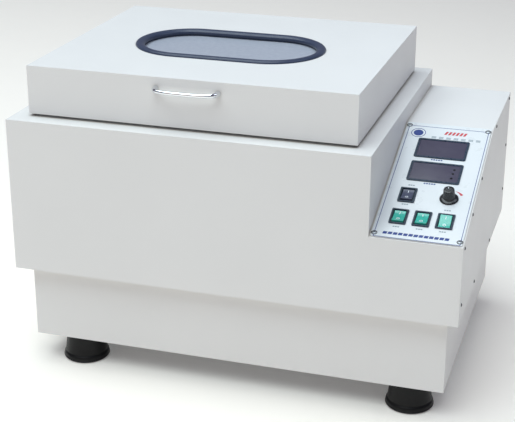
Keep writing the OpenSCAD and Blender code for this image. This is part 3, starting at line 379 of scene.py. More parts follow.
# Formed, moulded and machined pieces keep their CAD shape. Edges get "edge" mm of rounding, and
# folds between two faces that are broader than "broad" mm get "fold" mm
def soften(node, edge=0.3, fold=None, segments=2, broad=6):
    work = bmesh.new()
    work.from_mesh(cadNodes[node].data)
    bmesh.ops.remove_doubles(work, verts=work.verts, dist=0.001 * mm)
    bmesh.ops.dissolve_limit(work, angle_limit=math.radians(0.4), verts=work.verts,
        edges=work.edges)
    fold = fold or edge
    layer = work.edges.layers.float.new("bevel_weight_edge")

    def breadth(face):
        return face.calc_area() / max(e.calc_length() for e in face.edges) / mm

    for e in work.edges:
        if len(e.link_faces) == 2 and e.calc_face_angle(0) > math.radians(25):  # not on curves
            wide = all(breadth(f) > broad for f in e.link_faces)
            e[layer] = 1.0 if wide else edge / fold
    mesh = bpy.data.meshes.new(camelName(node))
    work.to_mesh(mesh)
    work.free()
    made = newObject(camelName(node), mesh)
    return roundEdges(made, fold, segments, "WEIGHT")

softened = {
    "body_casing": dict(edge=0.4, fold=1.8, segments=3), "side_cover": dict(edge=0.45),
    "rear_cover": dict(edge=0.45), "base_casing": dict(edge=0.4, fold=1.8, segments=3),
    "lid_shell": dict(edge=0.4, fold=2.2, segments=3), "base_plate": dict(edge=0.3),
    "foot_bolts": dict(edge=0.4), "tank_liner": dict(edge=0.3, fold=1.5),
    "tank_insulation": dict(edge=2), "standpipe": dict(edge=0.4),
    "heater_element": dict(edge=0.4), "bulkhead_nuts": dict(edge=0.5),
    "temperature_probe": dict(edge=0.3), "drain_pipe": dict(edge=0.4),
    "drain_cap": dict(edge=0.8, segments=3), "lid_liner": dict(edge=0.3, fold=1.5),
    "lid_seal": dict(edge=0.5), "window_pane": dict(edge=0.4),
    "handle_screws": dict(edge=0.2),
    "hinge_deck_leaves": dict(edge=0.3), "hinge_lid_leaves": dict(edge=0.3),
    "hinge_pins": dict(edge=0.5), "panel_plate": dict(edge=0.3),
    "display_housings": dict(edge=0.7, segments=3), "display_windows": dict(edge=0.3),
    "switch_frames": dict(edge=0.4), "speed_potentiometer": dict(edge=0.4),
    "control_board": dict(edge=0.3), "mains_inlet": dict(edge=0.4),
    "bearing_housing": dict(edge=1.0), "housing_bolts": dict(edge=0.4),
    "crankshaft": dict(edge=0.6), "counterweight": dict(edge=1.0),
    "driven_pulley": dict(edge=0.6), "drive_belt": dict(edge=0.3), "motor": dict(edge=0.5),
    "motor_bracket": dict(edge=0.4), "motor_shaft": dict(edge=0.5),
    "motor_pulley": dict(edge=0.5), "platform_hub": dict(edge=0.5),
    "flask_clamps": dict(edge=0.3), "idler_posts": dict(edge=0.5),
    "rear_left_idler": dict(edge=0.5), "front_left_idler": dict(edge=0.5),
    "right_idler": dict(edge=0.5)}
for node, how in softened.items():
    finish = finishOfSlot[slotOf[node]]
    if node in ("display_housings", "switch_frames"):
        finish = "bezelAbs"
    settle(soften(node, **how), cadNodes[node]["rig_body"], finish, [node])
print("softened pieces:", len(softened))

# Window surround: an extruded rubber section bent round the opening
surround = {"lipTop": 492.4, "shellTop": 488, "linerTop": 472, "lipBottom": 469.5,
    "paneTop": 481.7, "paneBottom": 477.7, "band": 12.2, "neck": 5, "bite": 3.5}
gasketLow, gasketHigh = (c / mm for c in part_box("window_gasket"))
windowCentre = ((gasketLow.x + gasketHigh.x) / 2, (gasketLow.y + gasketHigh.y) / 2)
openingLength = gasketHigh.x - gasketLow.x - 2 * surround["band"]
openingWidth = gasketHigh.y - gasketLow.y - 2 * surround["band"]

def buildSurround(work):
    g = surround
    band, top, shell = g["band"], g["lipTop"], g["shellTop"]
    crown = [(band, shell), (band - 0.1, shell + 0.9), (band - 0.6, shell + 2.1),
        (10.4, top - 1.1), (8.8, top - 0.4), (6.8, top), (4.6, top - 0.1), (2.4, top - 0.5),
        (0.4, top - 1.3), (-1.2, top - 2.3), (-2.3, top - 3.6), (-2.8, top - 5.1),
        (-2.5, top - 6.5), (-1.7, top - 7.5), (-0.6, top - 8.2), (0, top - 9)]
    lower = [(0, g["paneTop"] + 0.4), (0.4, g["paneTop"]), (g["bite"], g["paneTop"]),
        (g["bite"], g["paneBottom"]), (0.4, g["paneBottom"]), (0, g["paneBottom"] - 0.4),
        (0, g["lipBottom"] + 1), (1, g["lipBottom"]), (band - 1, g["lipBottom"]),
        (band, g["lipBottom"] + 1), (band, g["linerTop"]), (g["neck"], g["linerTop"]),
        (g["neck"], shell)]
    sweep(work, crown + lower, stadiumStations(windowCentre, openingLength, openingWidth))

settle(newObject("windowSurround", meshFrom("windowSurround", buildSurround)), "lid",
    "extrudedRubber", ["window_gasket"])

# Lid handle: one bowed bar that thickens into its two roots. A lower bend makes its corners fuller
handle = {"barRadius": 3.0, "rootRadius": 4.6, "bend": 0.6, "inset": 5.0, "steps": 64,
    "sides": 20}
handleLow, handleHigh = (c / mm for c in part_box("lid_handle"))

def buildHandle(work):
    h, steps, sides = handle, handle["steps"], handle["sides"]
    centre = (handleLow + handleHigh) / 2
    half = (handleHigh.x - handleLow.x) / 2 - h["inset"]
    reach = handleHigh.y - handleLow.y - h["barRadius"]
    path = []
    for i in range(steps + 1):
        t = math.pi * i / steps
        side = math.copysign(abs(math.cos(t)) ** h["bend"], math.cos(t))
        path.append(Vector((centre.x - half * side,
            handleHigh.y - reach * math.sin(t) ** h["bend"], centre.z)))
    rows = []
    for i, spot in enumerate(path):
        along = path[min(i + 1, steps)] - path[max(i - 1, 0)]
        if i in (0, steps):
            along = Vector((0, -1 if i == 0 else 1, 0))
        outward = Vector((along.y, -along.x, 0)).normalized()
        thick = h["barRadius"] + (h["rootRadius"] - h["barRadius"]) * (
            1 - math.sin(math.pi * i / steps)) ** 2
        row = []
        for k in range(sides):
            turn = 2 * math.pi * k / sides
            aside = outward * math.cos(turn) + Vector((0, 0, math.sin(turn)))
            row.append(work.verts.new((spot + thick * aside) * mm))
        rows.append(row)
    for i in range(steps):
        for k in range(sides):
            n = (k + 1) % sides
            work.faces.new((rows[i][k], rows[i][n], rows[i + 1][n], rows[i + 1][k]))
    work.faces.new(rows[0])
    work.faces.new(rows[-1])

settle(newObject("lidHandle", meshFrom("handle", buildHandle)), "lid", "chromePlate",
    ["lid_handle"])

# Rubber feet, turned about each foot's own axis, with a socket below for the bolt's head
foot = {"top": 43, "topRadius": 31, "flange": 37, "socketRadius": 10, "socketDepth": 14,
    "bore": 4.05}

def buildFeet(work):
    r, f, top = foot["topRadius"], foot["flange"], foot["top"]
    profile = [(foot["socketRadius"], 0.5), (foot["socketRadius"] + 0.5, 0), (f - 4.5, 0),
        (f - 2.4, 0.4), (f - 1.1, 1.5), (f - 0.8, 2.5), (f - 0.1, 2.8), (f, 3.2), (f, 4.2),
        (f - 0.2, 4.5), (f - 0.5, 4.7), (f - 0.6, 6.6), (f - 0.9, 8.6), (f - 1.6, 10.1),
        (f - 2.6, 10.9), (r + 3.3, 11.2), (r + 2.9, 11.6), (r + 2.7, 12.3), (r + 2.8, 13),
        (r + 2.6, 15), (r + 2.1, 18), (r + 1.4, 25), (r + 0.4, top - 8), (r + 0.2, top - 2),
        (r - 0.1, top - 0.7), (r - 0.9, top), (foot["bore"], top),
        (foot["bore"], foot["socketDepth"]), (foot["socketRadius"], foot["socketDepth"])]
    for points in islands("feet"):
        centre = middle(points) / mm
        sweep(work, profile, circleStations((centre.x, centre.y), 96))

settle(newObject("rubberFeet", meshFrom("rubberFeet", buildFeet)), "root", "mouldedRubber",
    ["feet"])
print("window surround and feet made")

# Control panel: rockers, knob and printing, in mm along the slope, up it and out of it
panel = {"origin": (213.4, -242.5, 288), "tilt": 19.042}
slope = Matrix.Translation(Vector(panel["origin"]) * mm) @ Matrix.Rotation(
    math.radians(panel["tilt"]), 4, "X")

def onSlope(spot, out=0.0):
    return slope @ Matrix.Translation(Vector((spot[0], spot[1], out)) * mm)

# Flat prisms from outlines in mm
def plates(outlines, low, high):
    def build(work):
        for outline in outlines:
            under = [work.verts.new((x * mm, y * mm, low * mm)) for x, y in outline]
            over = [work.verts.new((x * mm, y * mm, high * mm)) for x, y in outline]
            work.faces.new(over)
            work.faces.new(under[::-1])
            for i in range(len(outline)):
                n = (i + 1) % len(outline)
                work.faces.new((under[i], under[n], over[n], over[i]))
    return build

# Outline of a bar about its middle, its top pushed to the right by twice the lean
def bar(x, y, w, h, lean=0.0):
    return [(x - w / 2 - lean, y - h / 2), (x + w / 2 - lean, y - h / 2),
        (x + w / 2 + lean, y + h / 2), (x - w / 2 + lean, y + h / 2)]

def disc(x, y, r, steps=32):
    turns = [2 * math.pi * i / steps for i in range(steps)]
    return [(x + r * math.cos(t), y + r * math.sin(t)) for t in turns]

rocker = {"halfWidth": 8.6, "halfLength": 12.45, "edge": 6.3, "middle": 5.1, "skirt": 3,
    "keel": 6, "pivot": -2, "throw": 14, "pinRadius": 2, "pinLength": 21.2, "markRise": 0.1,
    "markSink": -0.3, "rounding": 0.7}
green = dict(finish="greenPolycarbonate", slot="switch_green")
switches = {
    "power_rocker": dict(spot=(36.7, 98.78), tip=-1, finish="slateAbs", slot="black_plastic"),
    "left_rocker": dict(spot=(34.2, 48.97), tip=-1, **green),
    "middle_rocker": dict(spot=(67.7, 48.97), tip=-1, **green),
    "right_rocker": dict(spot=(101.2, 48.97), tip=1, **green)}

# Height of a rocker's dished top at a distance along it
def dish(y):
    return rocker["middle"] + (rocker["edge"] - rocker["middle"]) * (y / rocker["halfLength"]) ** 2

def buildRocker(work):
    r = rocker
    half, steps = r["halfLength"], 12
    outline = [(-half, -r["skirt"])]
    for i in range(steps + 1):
        y = -half + 2 * half * i / steps
        outline.append((y, dish(y)))
    outline += [(half, -r["skirt"]), (0, -r["keel"])]
    plates([outline], -r["halfWidth"], r["halfWidth"])(work)
    bmesh.ops.rotate(work, verts=work.verts, matrix=Matrix.Rotation(math.pi / 2, 3, "Z")
        @ Matrix.Rotation(math.pi / 2, 3, "X"))
    bmesh.ops.create_cone(work, cap_ends=True, segments=24, radius1=r["pinRadius"] * mm,
        radius2=r["pinRadius"] * mm, depth=r["pinLength"] * mm,
        matrix=Matrix.Rotation(math.pi / 2, 4, "Y"))

# The usual line and ring for on and off, laid on the dished top
def buildMarks(work):
    low, high = rocker["markSink"], rocker["markRise"]
    plates([bar(0, 7.2, 1.1, 5)], low, high)(work)
    sweep(work, [(1.5, low), (2.5, low), (2.5, high), (1.5, high)], circleStations((0, -7), 28))
    for vert in work.verts:
        vert.co.z += dish(vert.co.y / mm) * mm

for node, switch in switches.items():
    rest = onSlope(switch["spot"], rocker["pivot"]) @ Matrix.Rotation(
        math.radians(switch["tip"] * rocker["throw"] / 2), 4, "X")
    cap = newObject(camelName(node), meshFrom(node, buildRocker))
    roundEdges(cap, rocker["rounding"], 3)
    cap.data.transform(rest)
    settle(cap, node, switch["finish"], [node])
    settle(newObject(camelName(node) + "Marks", meshFrom("marks", buildMarks, rest)), node,
        "whiteInk")

# Raised lips inside the frames, along both sides of each rocker
rim = {"inner": 9.0, "outer": 10.35, "halfLength": 14.05, "low": 0.6, "high": 4.4,
    "rounding": 0.25}
lips = []
for switch in switches.values():
    x, y = switch["spot"]
    for side in (-1, 1):
        lips.append(bar(x + side * (rim["inner"] + rim["outer"]) / 2, y,
            rim["outer"] - rim["inner"], 2 * rim["halfLength"]))
lipPiece = newObject("switchLips", meshFrom("lips", plates(lips, rim["low"], rim["high"])))
roundEdges(lipPiece, rim["rounding"])
lipPiece.data.transform(slope)
settle(lipPiece, "root", "mouldedAbs", ())

knob = {"spot": (97.7, 100.28), "lift": 2.5, "skirtRadius": 14, "gripRadius": 8.8,
    "topRadius": 8.1, "height": 18, "boreRadius": 3.05, "boreDepth": 9.5, "flutes": 18,
    "fluteDepth": 0.75, "pointerTurn": 20}

def buildKnob(work):
    skirt, grip, top, height, bore, depth = (knob[key] for key in ("skirtRadius",
        "gripRadius", "topRadius", "height", "boreRadius", "boreDepth"))
    centre = 0.001  # just off the axis, so that the turned faces close there
    profile = [(bore, 0), (skirt - 0.5, 0), (skirt, 0.5), (skirt - 0.2, 1.2),
        (skirt - 1.2, 2.2), (skirt - 3, 2.9), (grip + 0.5, 3.3), (grip, 4.0), (grip - 0.1, 6),
        (grip - 0.25, 9), (grip - 0.4, 12), (top + 0.1, 15.5), (top, height - 1),
        (top - 0.35, height - 0.4), (top - 1.1, height), (top - 2, height),
        (top - 2.5, height - 0.5), (centre, height - 0.5), (centre, depth), (bore, depth)]
    sweep(work, profile, circleStations((0, 0), 144))

# Repeated pieces are grown by node trees. A size is a number or the kind of thing it takes
def newTree(name, sizes):
    tree = bpy.data.node_groups.new(name, "GeometryNodeTree")
    tree.interface.new_socket("Geometry", in_out="INPUT", socket_type="NodeSocketGeometry")
    tree.interface.new_socket("Geometry", in_out="OUTPUT", socket_type="NodeSocketGeometry")
    for label, value in sizes.items():
        kind = {int: "Int", float: "Float"}.get(type(value), value)
        socket = tree.interface.new_socket(label, in_out="INPUT",
            socket_type="NodeSocket" + kind)
        if isinstance(value, (int, float)):
            socket.default_value = value
    given = addNode(tree, "NodeGroupInput")
    return tree, {socket.name: socket for socket in given.outputs}

# Ends a tree with real geometry in one finish
def closeTree(tree, geometry, finish):
    real = addNode(tree, "GeometryNodeRealizeInstances", inputs={"Geometry": geometry})
    dressed = addNode(tree, "GeometryNodeSetMaterial",
        inputs={"Geometry": real.outputs[0], "Material": finish})
    result = addNode(tree, "NodeGroupOutput")
    tree.links.new(dressed.outputs[0], result.inputs[0])

# Runs a tree on a mesh and keeps the result as a plain mesh
def grow(name, mesh, tree, values):
    made = newObject(name, mesh)
    modifier = made.modifiers.new("nodes", "NODES")
    modifier.node_group = tree
    for item in tree.interface.items_tree:
        if item.in_out == "INPUT" and item.name in values:
            modifier[item.identifier] = values[item.name]
    bake(made)
    shadeSmooth(made.data)
    return made

# One vertex for each place, with the way that it faces
def pointMesh(name, places):
    mesh = bpy.data.meshes.new(name)
    mesh.from_pydata([place for place, way in places], [], [])
    facing = mesh.attributes.new("facing", "FLOAT_VECTOR", "POINT")
    facing.data.foreach_set("vector", [c for place, way in places for c in way])
    return mesh

# A copy of the shape on each point, its z axis turned to the point's facing
def instancesFacing(tree, points, shape, seed=None):
    way = addNode(tree, "GeometryNodeInputNamedAttribute", {"data_type": "FLOAT_VECTOR"},
        {"Name": "facing"})
    turned = addNode(tree, "FunctionNodeAlignRotationToVector", {"axis": "Z"},
        {"Vector": way.outputs["Attribute"]}).outputs[0]
    if seed is not None:
        spin = addNode(tree, "FunctionNodeRandomValue", {"data_type": "FLOAT"},
            {"Max_001": math.pi, "Seed": seed})
        angle = next(s for s in spin.outputs if s.identifier == "Value_001")
        about = addNode(tree, "FunctionNodeAxisAngleToRotation", inputs={"Angle": angle})
        turned = addNode(tree, "FunctionNodeRotateRotation", {"rotation_space": "LOCAL"},
            {"Rotation": turned, "Rotate By": about.outputs[0]}).outputs[0]
    return addNode(tree, "GeometryNodeInstanceOnPoints",
        inputs={"Points": points, "Instance": shape, "Rotation": turned}).outputs[0]

# Domed screws with a cross recess, each turned by its own amount
def screwTree():
    tree, given = newTree("crossHeadScrews", {"Head Radius": 3.4 * mm, "Head Height": 1.2 * mm,
        "Under Head": -0.1 * mm, "Slot Width": 0.9 * mm, "Shank Radius": 1.5 * mm,
        "Shank Length": 8 * mm, "Seed": 3, "Finish": "Material"})
    ball = addNode(tree, "GeometryNodeMeshUVSphere",
        inputs={"Segments": 24, "Rings": 12, "Radius": given["Head Radius"]})
    place = addNode(tree, "GeometryNodeInputPosition")
    parts = addNode(tree, "ShaderNodeSeparateXYZ", inputs={"Vector": place.outputs[0]})
    squash = addNode(tree, "ShaderNodeMath", {"operation": "DIVIDE"},
        {"Value": given["Head Height"], "Value_001": given["Head Radius"]}).outputs[0]
    flat = addNode(tree, "ShaderNodeMath", {"operation": "MULTIPLY"},
        {"Value": parts.outputs[2], "Value_001": squash}).outputs[0]
    kept = addNode(tree, "ShaderNodeMath", {"operation": "MAXIMUM"},
        {"Value": flat, "Value_001": given["Under Head"]}).outputs[0]
    domed = addNode(tree, "ShaderNodeCombineXYZ",
        inputs={"X": parts.outputs[0], "Y": parts.outputs[1], "Z": kept})
    dome = addNode(tree, "GeometryNodeSetPosition",
        inputs={"Geometry": ball.outputs[0], "Position": domed.outputs[0]})
    reach = addNode(tree, "ShaderNodeMath", {"operation": "MULTIPLY"},
        {"Value": given["Head Radius"], "Value_001": 1.1}).outputs[0]
    cuts = []
    for wide, long in ((reach, given["Slot Width"]), (given["Slot Width"], reach)):
        size = addNode(tree, "ShaderNodeCombineXYZ",
            inputs={"X": wide, "Y": long, "Z": given["Head Height"]})
        box = addNode(tree, "GeometryNodeMeshCube", inputs={"Size": size.outputs[0]})
        lift = addNode(tree, "ShaderNodeCombineXYZ", inputs={"Z": given["Head Height"]})
        cuts.append(addNode(tree, "GeometryNodeTransform",
            inputs={"Geometry": box.outputs[0], "Translation": lift.outputs[0]}).outputs[0])
    head = addNode(tree, "GeometryNodeMeshBoolean", {"operation": "DIFFERENCE"},
        {"Mesh 1": dome.outputs[0], "Mesh 2": cuts})
    shank = addNode(tree, "GeometryNodeMeshCylinder", inputs={"Vertices": 16,
        "Radius": given["Shank Radius"], "Depth": given["Shank Length"]})
    half = addNode(tree, "ShaderNodeMath", {"operation": "MULTIPLY"},
        {"Value": given["Shank Length"], "Value_001": -0.5}).outputs[0]
    drop = addNode(tree, "ShaderNodeCombineXYZ", inputs={"Z": half})
    sunk = addNode(tree, "GeometryNodeTransform",
        inputs={"Geometry": shank.outputs[0], "Translation": drop.outputs[0]})
    whole = addNode(tree, "GeometryNodeJoinGeometry",
        inputs={"Geometry": [head.outputs[0], sunk.outputs[0]]})
    closeTree(tree, instancesFacing(tree, given["Geometry"], whole.outputs[0], given["Seed"]),
        given["Finish"])
    return tree

slopeOut = (slope.to_3x3() @ Vector((0, 0, 1))).normalized()
plated = dict(finish="zincPlate", slot="zinc_hardware")
blackened = dict(radius=2.7, finish="blackOxide", slot="dark_screws")
screwSets = {
    "panel_screws": dict(way=slopeOut, radius=3.0, **plated),
    "side_cover_screws": dict(way=Vector((1, 0, 0)), **blackened),
    "rear_cover_screws": dict(way=Vector((0, 1, 0)), **blackened),
    "base_plate_screws": dict(way=Vector((0, 0, -1)), radius=3.4, **plated)}
headHeight = 1.2
screws = screwTree()
for seed, (node, kind) in enumerate(screwSets.items()):
    places = []
    for points in islands(node):
        centre = middle(points)
        top = max(p.dot(kind["way"]) for p in points)
        places.append((centre + kind["way"] * (top - centre.dot(kind["way"])
            - headHeight * mm), kind["way"]))
    made = grow(camelName(node), pointMesh(node, places), screws, {
        "Head Radius": kind["radius"] * mm, "Head Height": headHeight * mm, "Seed": seed + 3,
        "Finish": finishes[kind["finish"]]})
    settle(made, cadNodes[node]["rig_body"], None, [node])

# Flutes round the knob's grip: points outside the core move inwards by a rounded wave
def fluteTree():
    tree, given = newTree("knobFlutes", {"Flutes": 18, "Depth": 0.7 * mm, "Grip Start": 4 * mm,
        "Grip End": 17.2 * mm, "Core Radius": 6.9 * mm, "Finish": "Material"})
    place = addNode(tree, "GeometryNodeInputPosition").outputs[0]
    parts = addNode(tree, "ShaderNodeSeparateXYZ", inputs={"Vector": place})
    angle = addNode(tree, "ShaderNodeMath", {"operation": "ARCTAN2"},
        {"Value": parts.outputs[1], "Value_001": parts.outputs[0]}).outputs[0]
    waves = addNode(tree, "ShaderNodeMath", {"operation": "MULTIPLY"},
        {"Value": given["Flutes"], "Value_001": 0.5}).outputs[0]
    phase = addNode(tree, "ShaderNodeMath", {"operation": "MULTIPLY"},
        {"Value": angle, "Value_001": waves}).outputs[0]
    sine = addNode(tree, "ShaderNodeMath", {"operation": "SINE"},
        {"Value": phase}).outputs[0]
    crest = addNode(tree, "ShaderNodeMath", {"operation": "ABSOLUTE"},
        {"Value": sine}).outputs[0]
    groove = addNode(tree, "ShaderNodeMath", {"operation": "SUBTRACT"},
        {"Value": 1.0, "Value_001": crest}).outputs[0]
    above = addNode(tree, "ShaderNodeMath", {"operation": "GREATER_THAN"},
        {"Value": parts.outputs[2], "Value_001": given["Grip Start"]}).outputs[0]
    below = addNode(tree, "ShaderNodeMath", {"operation": "LESS_THAN"},
        {"Value": parts.outputs[2], "Value_001": given["Grip End"]}).outputs[0]
    within = addNode(tree, "ShaderNodeMath", {"operation": "MULTIPLY"},
        {"Value": above, "Value_001": below}).outputs[0]
    level = addNode(tree, "ShaderNodeCombineXYZ",
        inputs={"X": parts.outputs[0], "Y": parts.outputs[1]}).outputs[0]
    outward = addNode(tree, "ShaderNodeVectorMath", {"operation": "NORMALIZE"},
        {"Vector": level}).outputs[0]
    reach = addNode(tree, "ShaderNodeVectorMath", {"operation": "LENGTH"},
        {"Vector": level}).outputs["Value"]
    outside = addNode(tree, "ShaderNodeMath", {"operation": "GREATER_THAN"},
        {"Value": reach, "Value_001": given["Core Radius"]}).outputs[0]
    amount = addNode(tree, "ShaderNodeMath", {"operation": "MULTIPLY"},
        {"Value": given["Depth"], "Value_001": -1.0}).outputs[0]
    for share in (groove, within, outside):
        amount = addNode(tree, "ShaderNodeMath", {"operation": "MULTIPLY"},
            {"Value": amount, "Value_001": share}).outputs[0]
    shift = addNode(tree, "ShaderNodeVectorMath", {"operation": "SCALE"},
        {"Vector": outward, "Scale": amount}).outputs[0]
    moved = addNode(tree, "GeometryNodeSetPosition",
        inputs={"Geometry": given["Geometry"], "Offset": shift})
    closeTree(tree, moved.outputs[0], given["Finish"])
    return tree

grip = grow("speedKnob", meshFrom("knob", buildKnob), fluteTree(), {"Flutes": knob["flutes"],
    "Depth": knob["fluteDepth"] * mm, "Finish": finishes["phenolicKnob"]})
knobPlace = onSlope(knob["spot"], knob["lift"])
grip.data.transform(knobPlace)
settle(grip, "speed_knob", None, ["speed_knob"])
pointer = meshFrom("pointer", plates([bar(0, 5.2, 0.9, 5.2)], knob["height"] - 0.6,
    knob["height"] - 0.25), knobPlace @ Matrix.Rotation(math.radians(knob["pointerTurn"]), 4, "Z"))
settle(newObject("knobPointer", pointer), "speed_knob", "whiteInk")

# Printing on the film: plain marks stand in for the captions, so nothing is lettered. A row of
# bars has its first middle, the pitch and count, and each bar's size, lean and alternate rise
ink = {"low": 1.9, "high": 2.07, "line": 0.9, "border": (6.5, 2.6, 130, 269.7),
    "emblem": (23.5, 252.6), "emblemRadius": 7.6, "ringRadius": 10.8, "screwShadowRadius": 3.9,
    "ringWidth": 1.1,
    "maker": dict(first=(21.5, 11.9), pitch=7.4, count=13, size=(6, 5.4), lean=0.5, jog=0.2),
    "title": dict(first=(66.5, 257.2), pitch=5.8, count=6, size=(3.6, 8), lean=1.4),
    "subtitle": dict(pitch=11.4, count=7, size=(7, 1.2), lean=0.2),
    "subtitleStarts": [(49, 242.3), (49, 244.2), (49, 246.1)],
    "meter": dict(pitch=3.7, count=5, size=(2.6, 2.8)),
    "meterStarts": [(56, 188.4), (56, 130.4)],
    "caption": dict(pitch=3.4, count=3, size=(2.6, 2.4)),
    "captionStarts": [(34.6, 123), (33.6, 78), (96.6, 74.5), (30.8, 27), (64.3, 27), (97.8, 27)],
    "indicators": [(94, 167.7), (93.4, 158), (92.8, 147.2)], "indicatorRadius": 1.9,
    "indicatorLow": 2.7, "indicatorHigh": 3.0,
    "arc": dict(radius=20.4, width=4.2, start=73, end=33)}

def barRow(first, pitch, count, size, lean=0.0, jog=0.0):
    return [bar(first[0] + i * pitch, first[1] + jog * (i % 2), *size, lean)
        for i in range(count)]

def barRows(kind):
    return [one for first in ink[kind + "Starts"] for one in barRow(first, **ink[kind])]

# A band round the knob that widens from its start to its end, in degrees
def taperedArc(radius, width, start, end, steps=16, thinnest=0.1):
    outer, inner = [], []
    for i in range(steps + 1):
        turn = math.radians(start + (end - start) * i / steps)
        half = width * i / steps / 2
        for side, reach in ((outer, radius + half), (inner, radius - half - thinnest)):
            side.append((knob["spot"][0] + reach * math.cos(turn),
                knob["spot"][1] + reach * math.sin(turn)))
    return outer + inner[::-1]

def inkPiece(name, build, finish):
    settle(newObject(name, meshFrom(name, build, slope)), "root", finish)

def printed(outlines):
    return plates(outlines, ink["low"], ink["high"])

def inkRing(spot, radius):
    inside, outside = radius - ink["ringWidth"] / 2, radius + ink["ringWidth"] / 2
    low, high = ink["low"], ink["high"]
    return lambda work: sweep(work, [(inside, low), (outside, low), (outside, high),
        (inside, high)], circleStations(spot, 48))

x0, y0, x1, y1 = ink["border"]
line = ink["line"]
borderBars = [bar((x0 + x1) / 2, y0, x1 - x0 + line, line),
    bar((x0 + x1) / 2, y1, x1 - x0 + line, line),
    bar(x0, (y0 + y1) / 2, line, y1 - y0 - line), bar(x1, (y0 + y1) / 2, line, y1 - y0 - line)]
emblem = disc(*ink["emblem"], ink["emblemRadius"])
inkPiece("panelBorder", printed(borderBars + barRow(**ink["maker"]) + barRows("meter")
    + [emblem]), "blueInk")
inkPiece("panelEmblemRing", inkRing(ink["emblem"], ink["ringRadius"]), "blueInk")
inkPiece("panelTitle", printed(barRow(**ink["title"]) + [taperedArc(**ink["arc"])]), "redInk")
inkPiece("panelCaptions", printed(barRows("subtitle") + barRows("caption")), "greyInk")
indicators = [disc(*spot, ink["indicatorRadius"]) for spot in ink["indicators"]]
inkPiece("displayIndicators", plates(indicators, ink["indicatorLow"], ink["indicatorHigh"]),
    "darkInkAndScrewShadow")
# Painted shadow: a dark ring round each panel screw stands for the shade round its head
for i, points in enumerate(islands("panel_screws")):
    spot = slope.inverted() @ middle(points) / mm
    inkPiece("panelScrewRing%d" % (i + 1), inkRing((spot.x, spot.y), ink["screwShadowRadius"]),
        "darkInkAndScrewShadow")
print("control panel made")

# Round holes punched through the shaking platform
def punchTree():
    tree, given = newTree("punchedHoles", {"Plate": "Object", "Hole Radius": 4 * mm,
        "Depth": 12 * mm, "Finish": "Material"})
    plate = addNode(tree, "GeometryNodeObjectInfo", inputs={"Object": given["Plate"]})
    punch = addNode(tree, "GeometryNodeMeshCylinder", inputs={"Vertices": 16,
        "Radius": given["Hole Radius"], "Depth": given["Depth"]})
    punches = instancesFacing(tree, given["Geometry"], punch.outputs[0])
    real = addNode(tree, "GeometryNodeRealizeInstances", inputs={"Geometry": punches})
    holed = addNode(tree, "GeometryNodeMeshBoolean", {"operation": "DIFFERENCE"},
        {"Mesh 1": plate.outputs["Geometry"], "Mesh 2": real.outputs[0]})
    closeTree(tree, holed.outputs[0], given["Finish"])
    return tree

# Rows of holes a pitch apart, moved half a pitch in every second row and kept clear of the edges
# and of circles round the hub, the clamps and the idlers' pins
tray = {"height": 258, "pitch": 20, "rowPitch": 20 * 0.866, "rows": 12, "holeRadius": 4.5,
    "edge": 18, "clear": 0.5, "hub": 62, "clamp": 22, "pin": 17, "pinInset": 7}
trayLow, trayHigh = (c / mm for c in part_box("platform_tray"))
trayMiddle = (trayLow + trayHigh) / 2
clampSpots = [middle(points) for points in islands("flask_clamps")]
keepOut = [(trayMiddle.x, trayMiddle.y, tray["hub"])]
keepOut += [(spot.x / mm, spot.y / mm, tray["clamp"]) for spot in clampSpots]
for node in ("rear_left_idler", "front_left_idler", "right_idler"):
    near, far = (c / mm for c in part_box(node))
    keepOut.append((far.x - tray["pinInset"], (near.y + far.y) / 2, tray["pin"]))

def isPunched(x, y):
    inside = (trayLow.x + tray["edge"] < x < trayHigh.x - tray["edge"]
        and trayLow.y + tray["edge"] < y < trayHigh.y - tray["edge"])
    return inside and all(math.hypot(x - a, y - b) > r + tray["clear"] for a, b, r in keepOut)

upwards = Vector((0, 0, 1))
holes = []
for i in range(-tray["rows"], tray["rows"] + 1):
    for j in range(-tray["rows"], tray["rows"] + 1):
        x = trayMiddle.x + (i + 0.5 * (j % 2)) * tray["pitch"]
        y = trayMiddle.y + j * tray["rowPitch"]
        if isPunched(x, y):
            holes.append((Vector((x, y, tray["height"])) * mm, upwards))
plate = soften("platform_tray", edge=0.35)
plate.name = "plainTray"
punched = grow("platformTray", pointMesh("holes", holes), punchTree(), {"Plate": plate,
    "Hole Radius": tray["holeRadius"] * mm, "Finish": finishes["brushedStainless"]})
settle(punched, "platform", None, ["platform_tray"])
bpy.data.objects.remove(plate)
print("platform punched:", len(holes), "holes")

